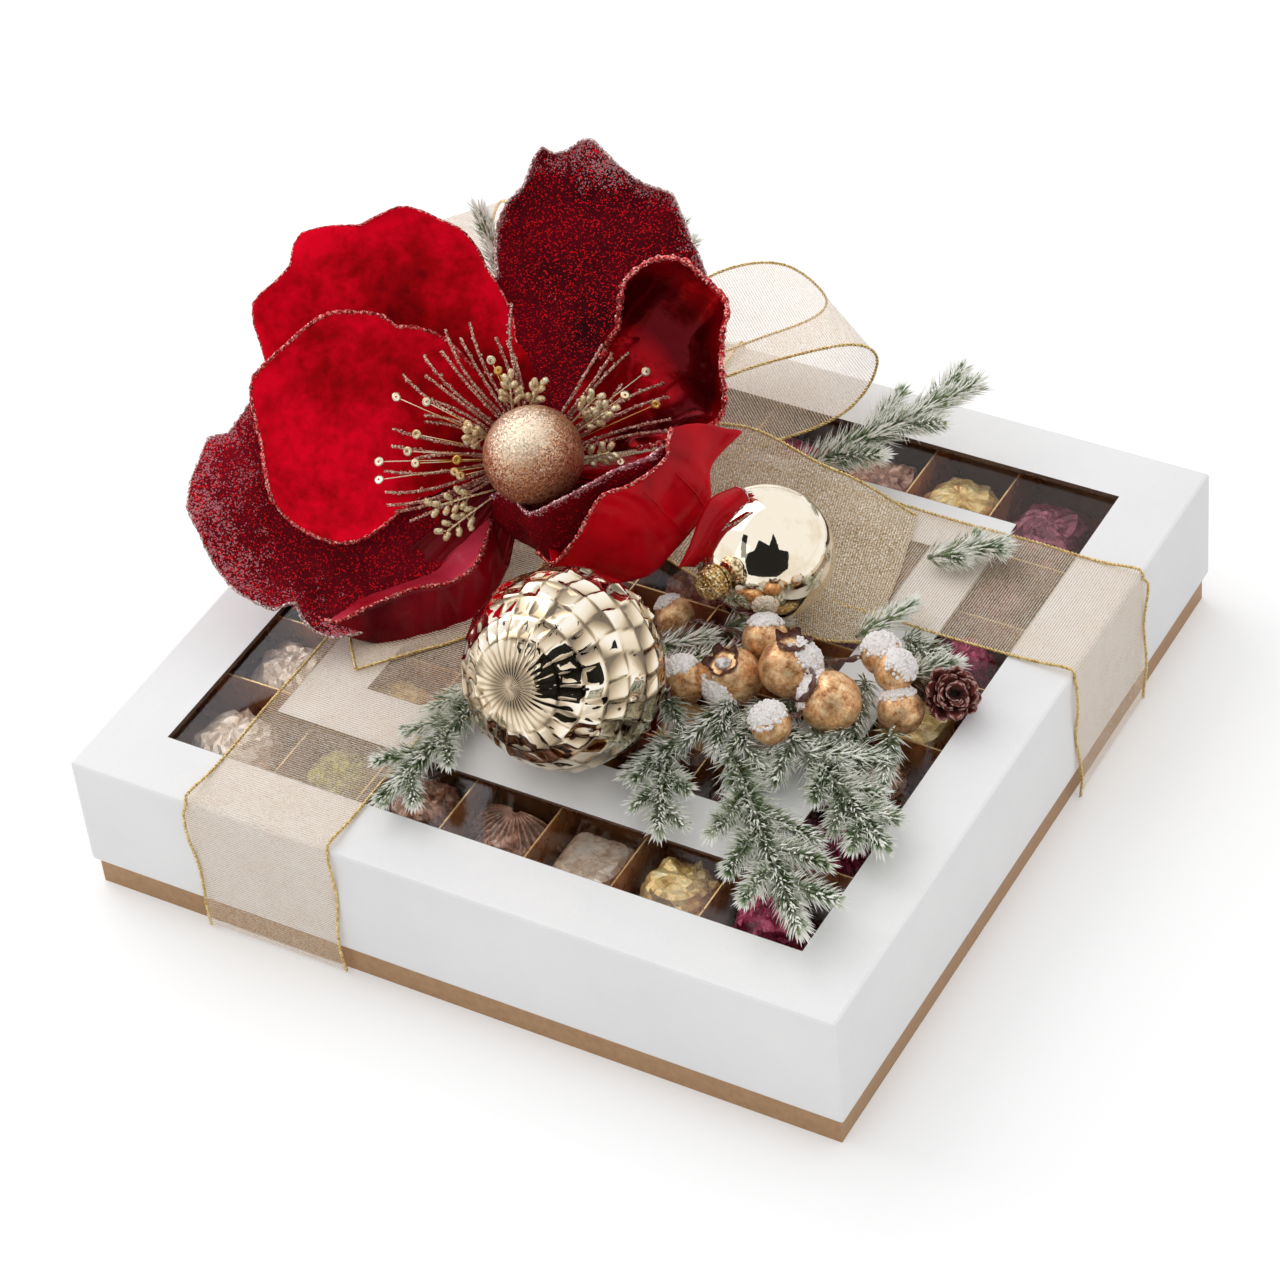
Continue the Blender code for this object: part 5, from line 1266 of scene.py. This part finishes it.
# Each is listed as a point on the photo: its pixel across and down
SEEN_SEQUINS = (
    (406, 450), (414, 462), (378, 461), (378, 479), (453, 470), (459, 474), (415, 433), (425, 400),
    (395, 396), (466, 422), (656, 403), (625, 393), (620, 460), (497, 368), (490, 358), (646, 370),
    (455, 458))
SEQUINS = np.array([sighted(across, down, SEQUIN_SIGHT)[:2] for across, down in SEEN_SEQUINS])
sequins, hairs = Pile(), Pile()
for number, (x, y) in enumerate(SEQUINS * PETAL_REACH):
    random = np.random.default_rng(number)
    centre = Vector((x, y, 0.0035 + FILAMENT_LIFT * hypot(x, y) / FILAMENT_LONG))
    lean_x, lean_y = random.uniform(-0.5, 0.5), random.uniform(-0.5, 0.5)
    tilt = Matrix.Rotation(lean_x, 3, "X") @ Matrix.Rotation(lean_y, 3, "Y")

    def disc(u, v):
        radius = SEQUIN_HOLE + (SEQUIN_RADIUS - SEQUIN_HOLE) * (u * 2 if u < 0.5 else 2 - 2 * u)
        dish = 0.00025 * (radius / SEQUIN_RADIUS) ** 2 + (0.00012 if u > 0.5 else 0)
        return centre + tilt @ Vector(around(tau * v, radius, dish))

    sequins.grid(disc, 4, 18)
    foot = centre.normalized() * 0.0125
    hairs.tube([(foot.x, foot.y, -0.001), centre * 0.6 - Vector((0, 0, 0.001)), centre], 0.00022, 4)
SEQUIN_GOLD = painted("sequin_gold", (70, 1), ((0.35, (0.96, 0.76, 0.38)), (0.60, (1.0, 0.95, 0.84))),
                      Metallic=0.70, Roughness=0.25)
sequins.piece("sequins", SEQUIN_GOLD, "gold_metal", place=FLOWER)
hairs.piece("sequin_hairs", SEQUIN_GOLD, "gold_metal", place=FLOWER)

# %% Gold bud sprigs
# foot and tip of each, in shares of the petal's reach
BUD_SPRIGS = np.array((
    ((-0.10, -0.09, 0.03), (-0.285, -0.145, 0.10)), ((-0.10, -0.10, 0.03), (-0.250, -0.215, 0.09)),
    ((-0.06, 0.10, 0.02), (-0.070, 0.215, 0.11)), ((-0.03, 0.10, 0.02), (0.012, 0.200, 0.13)),
    ((0.09, 0.08, 0.02), (0.175, 0.165, 0.14)), ((0.10, 0.06, 0.02), (0.215, 0.130, 0.15)),
    ((-0.11, 0.05, 0.02), (-0.185, 0.060, 0.12)), ((0.10, -0.02, 0.02), (0.220, 0.010, 0.14))))


def bowed(foot, tip, height, spots):
    """Places on the way from foot to tip, along a slight arch."""
    return [foot + (tip - foot) * s + np.array((0, 0, height * sin(pi * s))) for s in spots]


sprigs = Pile()
for seed, (foot, tip) in enumerate(BUD_SPRIGS * PETAL_REACH, 60):
    random = np.random.default_rng(seed)
    ahead = unit(tip - foot)
    side = np.cross(ahead, (0, 0, 1))
    sprigs.tube(bowed(foot, tip, 0.002, np.linspace(0, 1, 7)), 0.00045, 5)
    for k in range(9):
        share = 0.40 + 0.60 * k / 8
        root = foot + (tip - foot) * share
        way = unit(ahead * 0.9 + side * (0.75 * (-1) ** k) + random.normal(0, 0.25, 3))
        reach = 0.0034 * (1.2 - 0.5 * share)
        sprigs.tube([root, root + way * reach], 0.00028, 4)
        turn = Vector(way).to_track_quat("Z", "Y").to_matrix()
        sprigs.ball(root + way * (reach + 0.0012), lambda w: 0.0011 + 0.0011 * abs(w.z), 7, 5, turn)
BUD_GLITTER = glitter("pale_gold_glitter", (0.76, 0.62, 0.40), (0.96, 0.88, 0.68), (1.0, 0.98, 0.90),
                      2000, 0.55, 0.6)
sprigs.piece("gold_bud_sprigs", BUD_GLITTER, "gold_metal", place=FLOWER)

STEM = painted("wrapped_stem", (300, 3, 0.6, (1, 1, 4)), ((0.3, (0.16, 0.20, 0.12)), (0.7, (0.34, 0.36, 0.22))),
               ((700, 3), 0.0002, 1.0), Roughness=0.75)
give("flower_receptacle", STEM)
print("sequins:", len(SEQUINS), "bud sprigs:", len(BUD_SPRIGS))

# %% [markdown]
# ## The two glass balls
# Both are blown glass with a mirror lining, so they are all reflection: a dark room in the middle
# and the white tent round it. The larger one was blown into a mould. Fine flutes spread from a
# small nub on its front, and the rest is cut into square facets, each with its own slight slope,
# in rows that follow the ball's meridians. The relief is real, because a bump can't bend a mirror
# image as sharply as a facet does. On the larger ball a stored share paints reflection and shade.

# %% Mirror-lined glass
QUILTED_RADIUS = 0.0385
QUILTED_CENTRE = (0.0076, -0.0757, 0.10276)
QUILTED_POLE = (-0.035, -0.88, 0.472)
FACETS_AROUND, FACET_ROWS = 26, 13
FLUTES, FLUTE_END = 34, 0.44
MIRROR_RADIUS = 0.0270
MIRROR_CENTRE = (0.04103, 0.02171, 0.09410)
MIRROR_POLE = (-0.295, -0.947, 0.128)
# Tones of painted reflection and shade on the larger ball's facets, dark to white.
FACET_LIGHT_TONES = ((0.14, (0.30, 0.23, 0.15)), (0.42, (0.70, 0.61, 0.48)), (0.64, (0.95, 0.89, 0.79)),
               (0.88, (1.0, 0.98, 0.93)))


def mirror_glass(name, deep, body, rough, facet_light_tones=()):
    finish = Finish(name, Metallic=1.0, Coat_Weight=0.3, Coat_Roughness=0.03)
    lining = finish.speckle(46, 5, 0.65)
    tone = finish.steps(lining, (0.26, deep), (0.50, body))
    if facet_light_tones:
        tone = finish.blend(0.85, tone, finish.steps(finish.share(), *facet_light_tones))
    finish.wear(Base_Color=tone, Roughness=finish.between(lining, 0.25, 0.60, rough + 0.10, rough))
    finish.relief(finish.speckle(150, 3, 0.5), 0.00015, 0.4)
    return finish


def aimed(centre, direction):
    """A frame at a place, with its z axis along a direction."""
    return Matrix.Translation(Vector(centre)) @ Vector(direction).to_track_quat("Z", "Y").to_matrix().to_4x4()


def on_axes(centre, direction):
    """The same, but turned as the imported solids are: the shortest turn from straight up."""
    turn = Vector((0, 0, 1)).rotation_difference(Vector(direction))
    return Matrix.Translation(Vector(centre)) @ turn.to_matrix().to_4x4()


def facet_at(way):
    """For a direction: its angles, its facet's lean and slope, nearness to a ridge, and past the flutes."""
    theta, phi = acos(max(-1, min(1, way.z))), atan2(way.y, way.x) % tau
    row = theta / pi * FACET_ROWS
    column = phi / tau * FACETS_AROUND + 0.12 * sin(2.3 * row)
    across, down = (column % 1) * 2 - 1, (row % 1) * 2 - 1
    lean = leans[int(row)][int(column) % FACETS_AROUND]
    slope = lean[0] * across + lean[1] * down
    return theta, phi, lean[0], slope, max(abs(across), abs(down)), within((theta - FLUTE_END * 0.75) / 0.22)


# Painted reflection and shade: a facet's tone follows its slope and lean, with painted shade on its ridges, in
# the flutes and round the nub.
def facet_light_share(way):
    theta, phi, lean, slope, rim, mix = facet_at(way)
    tone = 0.58 + 0.26 * slope + 0.12 * lean - 0.45 * rim ** 10
    fluted = 0.62 - 0.30 * (0.5 + 0.5 * cos(FLUTES * phi)) ** 3
    fluted -= 0.35 * exp(-((theta - 0.16) / 0.10) ** 2)
    return within(fluted * (1 - mix) + tone * mix)


def quilted(way):
    """Distance from the middle in a direction: flutes round the nub, then square facets."""
    theta, phi, _, slope, rim, mix = facet_at(way)
    nub = 0.020 * exp(-(theta / 0.065) ** 2) - 0.016 * exp(-((theta - 0.12) / 0.07) ** 2)
    ridge = 0.5 + 0.5 * cos(FLUTES * phi + 0.6 * sin(3 * phi))
    flute = -0.0065 * ridge ** 2 * min(1.0, theta / 0.15) * max(0.0, 1 - theta / FLUTE_END) ** 0.6
    wide = sin(theta)
    cut = 0.0210 * slope * (1 - rim ** 8) * (0.3 + 0.7 * wide) - 0.020 * (1 - rim ** 1.5) * (0.35 + 0.65 * wide)
    ripple = 0.0035 * noise.noise(way * 5.0) + 0.0022 * noise.noise(way * 11.0)
    return QUILTED_RADIUS * (0.997 + nub + flute * (1 - mix) + cut * mix + ripple)


def blown(way):
    """A smooth blown ball: nearly round, a little flatter at the neck, with a draw mark below."""
    return MIRROR_RADIUS * (0.9985 + 0.0015 * noise.noise(way * 2.0) - 0.012 * exp(-((1 - way.z) / 0.02))
                            + 0.006 * exp(-((1 + way.z) / 0.004)))


leans = np.random.default_rng(3).uniform(-1.6, 1.6, (FACET_ROWS + 1, FACETS_AROUND, 2))
CHAMPAGNE = mirror_glass("champagne_mirror_glass", (0.62, 0.50, 0.36), (0.95, 0.89, 0.79), 0.04, FACET_LIGHT_TONES)
PALE_MIRROR = mirror_glass("smooth_mirror_glass", (0.86, 0.76, 0.60), (0.97, 0.93, 0.85), 0.02)
big, small = Pile(), Pile()
big.ball((0, 0, 0), quilted, 208, 117, shares=facet_light_share)
big.piece("quilted_glass_ball", CHAMPAGNE, "champagne_mirror", "quilted_ball",
          place=on_axes(QUILTED_CENTRE, QUILTED_POLE))
small.ball((0, 0, 0), blown, 96, 64)
small.piece("smooth_glass_ball", PALE_MIRROR, "champagne_mirror", "mirror_ball",
            place=on_axes(MIRROR_CENTRE, MIRROR_POLE))

# %% [markdown]
# ## The caps
# A glass ball hangs from a pressed metal cap: a short crimped crown with a rolled lower rim and a
# wire ring through its top. One cap is rolled in gold glitter.

# %% Caps with their wire rings
CAP_RADIUS, CAP_HEIGHT, CRIMPS = 0.0065, 0.0060, 24
# distance out and height up the cap's wall
CAP_SHARES = ((0.99, 0.02), (1.06, 0.10), (1.05, 0.20), (0.97, 0.28), (0.93, 0.60), (0.90, 0.90), (0.80, 0.99),
              (0.30, 1.0), (0.18, 1.04), (0.0, 1.05))


def cap(name, node, centre, direction, radius, finish):
    foot = sqrt(radius ** 2 - CAP_RADIUS ** 2)
    top = radius + CAP_HEIGHT

    def wall(u, v):
        across, up = smooth_curve(CAP_SHARES, u)
        angle = tau * v
        crimp = 1 + 0.030 * cos(CRIMPS * angle) * sin(pi * within(up))
        return around(angle, CAP_RADIUS * across * crimp, foot + (top - foot) * up)

    made = Pile()
    made.grid(wall, 24, 96)
    turns = np.linspace(0, tau, 25)
    made.tube([(0.0017 * sin(a), 0, top + 0.0007 - 0.0012 * cos(a)) for a in turns], 0.00038)
    made.piece(name, finish, "gold_metal", node, place=on_axes(centre, direction))


cap("glitter_cap", "mirror_ball_cap", MIRROR_CENTRE, MIRROR_POLE, MIRROR_RADIUS,
    glitter("gold_glitter", (0.48, 0.34, 0.14), (0.84, 0.66, 0.34), (1.0, 0.96, 0.82), 1300, 0.8))
cap("pressed_cap", "quilted_ball_cap", QUILTED_CENTRE, -Vector(QUILTED_POLE), QUILTED_RADIUS, WIRE_GOLD)
print("glass balls and caps: 4")

# %% [markdown]
# ## The berries
# The berries are foam painted with a gold varnish. Its tone wanders by noise from brown to pale
# gold, the brown painting shade and the pale gold painting highlights. The large ones are open at
# one end, with a brown calyx like a rose hip's. Artificial snow sticks to them in lumps, and they
# grow from brown twigs that have snow in their bark.

# %% Berries, calyxes, snow and twigs
# centre and radius in millimetres, side of the snow, how far it reaches, and the opening's side and its snow
SPRAYS = {
    "near": (((12.4, -3.0, 71.2), 8.0, (-0.6, 0.2, 0.8), 0.60),
             ((56.1, -9.0, 80.0), 9.2, (-0.2, 0.5, 0.85), 0.72),
             ((53.1, -31.0, 77.5), 12.0, (-0.25, -0.90, -0.20), 0.72, (-0.12, -0.30, 0.95), 0.62),
             ((37.0, -38.9, 76.6), 9.2, (-0.35, 0.10, 0.93), 0.72, (-0.55, -0.83, -0.05), 0.30)),
    "far": (((117.3, -16.9, 72.4), 9.2, (-0.35, 0.35, 0.87), 0.72),
            ((111.9, -10.1, 84.9), 8.0, (0.45, 0.35, 0.82), 1.05),
            ((102.9, -3.0, 84.1), 8.0, (-0.2, 0.3, 0.93), 1.05),
            ((75.5, -25.5, 86.4), 12.0, (0.75, 0.35, 0.50), 0.72, (0.05, 0.25, 0.97), 0.30),
            ((96.1, -32.1, 81.9), 12.0, (-0.80, -0.10, 0.35), 0.72, (-0.72, -0.30, 0.62), 0.62),
            ((81.1, -52.0, 81.9), 8.0, (-0.35, 0.0, 0.93), 1.05)),
}
SNOW_LUMPS, TWIG_STEPS = 150, 22
# Painted shade and highlights: the brown and pale ends of this noise tone stand for light on the berries.
GILT = painted(
    "gilt_varnish", (300, 6, 0.8),
    ((0.32, (0.48, 0.28, 0.14)), (0.46, (0.84, 0.62, 0.41)), (0.64, (1.0, 0.88, 0.70))),
    ((420, 3, 0.6), 0.0003, 0.5), Roughness=0.40, Metallic=0.60, Coat_Weight=0.2, Coat_Roughness=0.25)
CALYX = painted(
    "brown_calyx", (500, 4),
    ((0.3, (0.22, 0.10, 0.08)), (0.58, (0.44, 0.25, 0.20)), (0.72, (0.70, 0.58, 0.55))),
    ((800, 3), 0.0003, 0.7), Roughness=0.45, Coat_Weight=0.4)
TWIG = painted(
    "snowy_twig", (420, 4, 0.7),
    ((0.38, (0.28, 0.17, 0.14)), (0.56, (0.44, 0.30, 0.26)), (0.66, (0.90, 0.86, 0.84))),
    ((420, 4, 0.7), 0.0004, 1.0), Roughness=0.75)
SNOW = Finish("artificial_snow", Roughness=0.7)
grain = SNOW.grains(1400)
# Darker and browner between the grains: painted shade in the gaps.
tone = SNOW.steps(grain, (0.0, (1.0, 0.99, 0.98)), (0.60, (0.97, 0.95, 0.94)), (1.0, (0.88, 0.83, 0.80)))
SNOW.wear(Base_Color=tone)
SNOW.relief(SNOW.sums("SUBTRACT", 1.0, grain), 0.0004, 0.6)


def berry(fruit, calyx, snow, seed, centre, radius, snow_side, reach, opening=None, frosting=0.0):
    middle, radius = Vector(centre) * MM, radius * MM
    offset = Vector((seed * 2.1, seed, 0))
    open_way = Vector(opening).normalized() if opening else None

    def flesh(way):
        size = 0.985 + 0.020 * noise.noise(way * 2.2 + offset)
        if open_way:
            size -= 0.30 * exp(-(acos(max(-1.0, min(1.0, way.dot(open_way)))) / 0.30) ** 2)
        return radius * size

    fruit.ball(middle, flesh, 40, 26)
    if open_way:
        frame_at = aimed(middle, open_way)
        rim_radius = radius * 0.50

        def cup(u, v):
            angle = tau * v
            five = cos(5 * angle + seed)
            lobe = 1 + 0.20 * u * five + 0.06 * sin(13 * angle)
            rise = radius * (0.62 + 0.46 * u + (0.07 * five + 0.03 * sin(9 * angle)) * u)
            return frame_at @ Vector(around(angle, rim_radius * (0.30 + 0.78 * sin(u * 1.9)) * lobe, rise))

        def lining(u, v):
            return cup(u, v).lerp(middle, 0.035) + frame_at.to_3x3() @ Vector((0, 0, 0.0002))

        calyx.grid(cup, 10, 48)
        calyx.grid(lining, 10, 48)
        snow.ball(frame_at @ Vector((0, 0, radius * 0.74)),
                  lambda way: rim_radius * frosting * (0.8 + 0.7 * noise.noise(way * 4 + offset)), 18, 12)
    turn = aimed(middle, Vector(snow_side).normalized())

    def crust(u, v):
        angle = tau * v
        edge = reach * (1 + 0.35 * noise.noise(Vector(around(angle, 1.4, seed * 1.3))))
        way = over(u * edge, angle)
        thick = 0.0012 * (1 - u ** 4) * (1 + 1.0 * noise.noise(way * 6 + offset) + 0.7 * noise.noise(way * 19))
        return turn @ (way * (radius * 0.985 + thick * (1 if u < 0.98 else -1)))

    snow.grid(crust, 18, 44)
    random = np.random.default_rng(seed)
    for _ in range(SNOW_LUMPS):
        theta = reach * 1.18 * sqrt(random.uniform(0.02, 1.0))
        way = over(theta, random.uniform(0, tau))
        spot = turn @ (way * (radius + 0.0008 * (1 - theta / reach) + 0.0003))
        snow.ball(spot, random.uniform(0.0004, 0.0010), 6, 4)


for short, spray in SPRAYS.items():
    node = "berry_spray_" + short
    fruit, calyx, snow, twig = Pile(), Pile(), Pile(), Pile()
    for seed, row in enumerate(spray, len(node)):
        berry(fruit, calyx, snow, seed, *row)
    for a, b in zip(spray, spray[1:]):
        a, b = Vector(a[0]) * MM, Vector(b[0]) * MM
        s = np.linspace(0, 1, TWIG_STEPS)[:, None]
        knobs = np.hstack([0.0004 * np.sin(s * 23), 0.0004 * np.cos(s * 19), 0.0005 * np.sin(s * 31)])
        path = np.array(a) + (np.array(b) - np.array(a)) * s + knobs
        twig.tube(path, 0.0010 + 0.0003 * np.sin(np.linspace(0, 25, TWIG_STEPS)), 7)
    fruit.piece("berries_" + short, GILT, "gold_berry", node)
    calyx.piece("calyxes_" + short, CALYX, "brown_cone")
    snow.piece("snow_" + short, SNOW, "frosted_needle")
    twig.piece("twigs_" + short, TWIG, "brown_cone")
print("berries:", sum(len(spray) for spray in SPRAYS.values()))

# %% [markdown]
# ## The pine cone
# A cone's scales sit on a spiral, each turned by the golden angle from the last. A scale is a
# small cupped tongue. Its outer end is pale with frost, which the stored share steers.

# %% Pine cone
CONE_PLACE = (0.1310, -0.0020, 0.07320)
CONE_LEAN = (0.45, -0.55, 0.70)
CONE_RADIUS = 0.0100
CONE_SCALES, SCALE_THICKNESS = 84, 0.0005
GOLDEN_ANGLE = 2.39996
CONE_FINISH = painted(
    "frosted_cone", (700, 4),
    ((0.30, (0.20, 0.06, 0.05)), (0.82, (0.46, 0.19, 0.15)), (0.98, (0.76, 0.60, 0.57))),
    ((900, 3), 0.0003, 0.7), (-0.25, 0.25), Roughness=0.7)
place = on_axes(CONE_PLACE, CONE_LEAN)
scales = Pile()
for k in range(CONE_SCALES):
    share = (k + 0.5) / CONE_SCALES
    angle = k * GOLDEN_ANGLE + 0.55 * sin(k * 5.1)
    belly = CONE_RADIUS * sin(pi * (0.18 + 0.74 * share)) ** 0.8
    reach = belly * (0.58 + 0.20 * sin(k * 8.3))
    up = 0.10 + 1.05 * share + 0.55 * sin(k * 3.7)

    def scale(u, v):
        side = (v - 0.5) * 2
        out = belly * 0.38 + reach * u - 0.10 * CONE_RADIUS * side * side * u
        width = 0.11 + 0.17 * sin(min(1.0, u * 1.3) * pi / 2)
        width *= CONE_RADIUS * side * (1 - 0.25 * u ** 4)
        rise = CONE_RADIUS * (1.75 * share - 0.85) + reach * up * u * u + 0.05 * CONE_RADIUS * side * side
        x, y, _ = around(angle, 1)
        return place @ Vector((out * x - width * y, out * y + width * x, rise))

    scales.grid(scale, 6, 6, lambda u, v: u * (0.8 + 0.2 * abs(2 * v - 1)))
scales.ball(place.translation, CONE_RADIUS * 0.52, 14, 10)
thicken(scales.piece("pine_cone_scales", CONE_FINISH, "brown_cone", "pine_cone"), SCALE_THICKNESS)
print("scales:", CONE_SCALES)

# %% [markdown]
# ## The fir sprigs
# Each sprig is a twig with side shoots, and every shoot is crowded with short flat needles that
# point forward. The needles are grey-green and their tips are dipped in frost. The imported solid
# gives a sprig's foot, tip and thickness, so its needles are kept inside about that thickness.

# %% Fir sprigs with frosted needles
NEEDLE_HALF, LONGEST_NEEDLE = 0.00048, 0.0150
# The share runs from a needle's root to its tip: the tip is frosted, and the darker root is painted shade.
NEEDLE_FINISH = painted(
    "frosted_fir_needle", (160, 3),
    ((0.10, (0.27, 0.37, 0.18)), (0.36, (0.56, 0.63, 0.46)), (0.60, (0.98, 0.98, 0.95))),
    ((1500, 2), 0.0002, 0.5), (-0.36, 0.42), Roughness=0.75, Specular_IOR_Level=0.3)
FIR_TWIG = painted("wrapped_fir_twig", (380, 4, 0.7), ((0.38, (0.34, 0.34, 0.22)), (0.62, (0.82, 0.83, 0.76))),
                   ((600, 3), 0.0003, 0.6), Roughness=0.8)


def axis_of(name, behind):
    """Foot, tip and radius of a packed sprig, read from its own points."""
    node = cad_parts[name]
    points = np.array([node.matrix_world @ v.co for v in node.data.vertices])
    middle = points.mean(axis=0)
    way = np.linalg.svd(points - middle, full_matrices=False)[2][0]
    along = (points - middle) @ way
    thick = np.linalg.norm((points - middle) - np.outer(along, way), axis=1).max()
    ends = [middle + way * along.min(), middle + way * along.max()]
    from_foot = 2 if behind else slice(0, 2)
    return *sorted(ends, key=lambda end: float(np.linalg.norm(end[from_foot]))), thick


def needles(pile, foot, tip, radius, spacing, random, level=None):
    """Needles round a shoot: short at its tip, pointing forward, each a thin flat spindle."""
    length = np.linalg.norm(tip - foot)
    ahead = (tip - foot) / length
    side = unit(np.cross(ahead, (0.13, 0.21, 0.97)))
    other = np.cross(ahead, side)
    count = int(length / spacing)
    for k in range(count):
        share = (k + random.uniform(0, 1)) / count
        x, y, _ = around(k * GOLDEN_ANGLE + random.uniform(-0.4, 0.4), 1)
        lean = radians(random.uniform(36, 66) * (1 - 0.40 * share))
        reach = radius / sin(radians(46)) * random.uniform(0.80, 1.15)
        reach = min(reach, LONGEST_NEEDLE) * (1 - 0.35 * share ** 3)
        out = x * side + y * other
        way = ahead * cos(lean) + out * sin(lean)
        root = foot + ahead * length * share
        end = root + way * reach
        if level is not None and end[2] < level:
            end[2] = level + random.uniform(0, 0.0008)
        middle = (root + end) / 2 + out * reach * 0.05
        wide, deep = unit(np.cross(way, out)) * NEEDLE_HALF, out * NEEDLE_HALF * 0.5
        # Shares from root to tip: the finish frosts the tips and darkens the roots as painted shade.
        pile.take([root, middle + wide, middle + deep, middle - wide, middle - deep, end],
                  [(0, 1, 2), (0, 2, 3), (0, 3, 4), (0, 4, 1), (5, 2, 1), (5, 3, 2), (5, 4, 3), (5, 1, 4)],
                  (0.05, 0.5, 0.5, 0.5, 0.5, 1.0))


# side shoots of each sprig, and how much wider than its solid its needles spread
SPRIGS = {"front_near": (4, 1), "front_far": (6, 1), "right": (5, 1), "left": (4, 1), "back_right": (4, 1.15),
          "on_ribbon": (3, 1.5), "under_ribbon": (3, 1.4), "behind_left": (3, 1), "behind_right": (3, 1)}
NEEDLE_SPACING = 0.00012
for name, (shoots, spread) in SPRIGS.items():
    name = "sprig_" + name
    behind = name.startswith("sprig_behind")
    foot, tip, radius = axis_of(name, behind)
    radius *= spread
    random = np.random.default_rng(len(name) * 7 + int(radius * 1e5))
    level = None if behind else min(foot[2], tip[2]) - radius * 0.9
    ahead = unit(tip - foot)
    sideways = unit(np.cross(ahead, (0, 0, 1)))
    green, stems = Pile(), Pile()
    stems.tube(bowed(foot, tip, 0.0015, np.linspace(0.04, 1, 9)), np.linspace(0.0010, 0.0005, 9))
    needles(green, foot + (tip - foot) * 0.01, tip, radius, NEEDLE_SPACING, random, level)
    for k in range(shoots):
        share = 0.22 + 0.52 * k / max(1, shoots - 1)
        root = foot + (tip - foot) * share
        way = unit(ahead * 0.86 + sideways * (0.62 * (-1) ** k) + np.array((0, 0, random.uniform(-0.05, 0.22))))
        end = root + way * np.linalg.norm(tip - foot) * 0.34 * (1 - 0.3 * share)
        stems.tube([root, end], (0.0006, 0.0003), 5)
        needles(green, root + way * 0.002, end, radius * 0.72, NEEDLE_SPACING * 1.1, random, level)
    green.piece("needles_" + name, NEEDLE_FINISH, "frosted_needle", name, smooth=False)
    stems.piece("stem_" + name, FIR_TWIG, "stem_wrap")
    print(name, [round(float(x) * 1000, 1) for x in (*foot, *tip, radius)])

# %% [markdown]
# ## Small shoots under the berries
# The bouquet is bedded on loose fir, so that no gap shows between the balls and the berries. These
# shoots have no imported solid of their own: they are places on the lid, foot and tip.

# %% Filler shoots
FILLER_RADIUS, FILLER_LEVEL, FILLER_SPACING = 0.0072, 0.0680, 0.00014
# foot and tip of each, in millimetres
FILLERS = np.array((
    ((50, -20, 74), (64, -66, 74)), ((75, -12, 74), (84, -58, 74)), ((98, -8, 74), (112, -50, 74)),
    ((60, -50, 74), (84, -66, 73)), ((92, -40, 74), (118, -58, 73)), ((30, -45, 74), (48, -62, 74)),
    ((14, -24, 73), (32, -10, 74)), ((22, -36, 73), (44, -14, 74)), ((34, -4, 73), (54, 10, 74)),
    ((2, -34, 73), (24, -32, 74)), ((58, -38, 75), (52, -66, 74)), ((72, -34, 75), (70, -66, 74)),
    ((88, -44, 75), (92, -70, 74)), ((104, -36, 75), (108, -66, 74)), ((120, -30, 75), (130, -56, 74)),
    ((64, -46, 75), (98, -50, 75)), ((96, -54, 75), (124, -46, 75)), ((30, -18, 73), (48, -34, 74)),
    ((62, -6, 73), (86, -22, 74)), ((110, 0, 74), (126, 14, 74)), ((-26, -50, 74), (-46, -90, 74)),
    ((84, 12, 74), (96, 38, 74)), ((52, -62, 74), (40, -90, 73)), ((112, -38, 74), (128, -78, 73)))) * MM
green, stems = Pile(), Pile()
random = np.random.default_rng(77)
for foot, tip in FILLERS:
    stems.tube([foot, tip], (0.0007, 0.0004), 5)
    needles(green, foot, tip, FILLER_RADIUS, FILLER_SPACING, random, FILLER_LEVEL)
green.piece("needles_filler", NEEDLE_FINISH, "frosted_needle", smooth=False)
stems.piece("stem_filler", FIR_TWIG, "stem_wrap")
print("filler shoots:", len(FILLERS))

# %% [markdown]
# ## Sizes
# The sizes of the imported box and of the dressed box are printed, for comparing. The dressed
# box has to stay as large as the imported one.

# %% Print the two boxes
SHOWN_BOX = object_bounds()
for label, (low, high) in (("packed", CAD_BOX), ("shown", SHOWN_BOX)):
    print(label, [round(x * 1000, 1) for x in (*low, *high)])
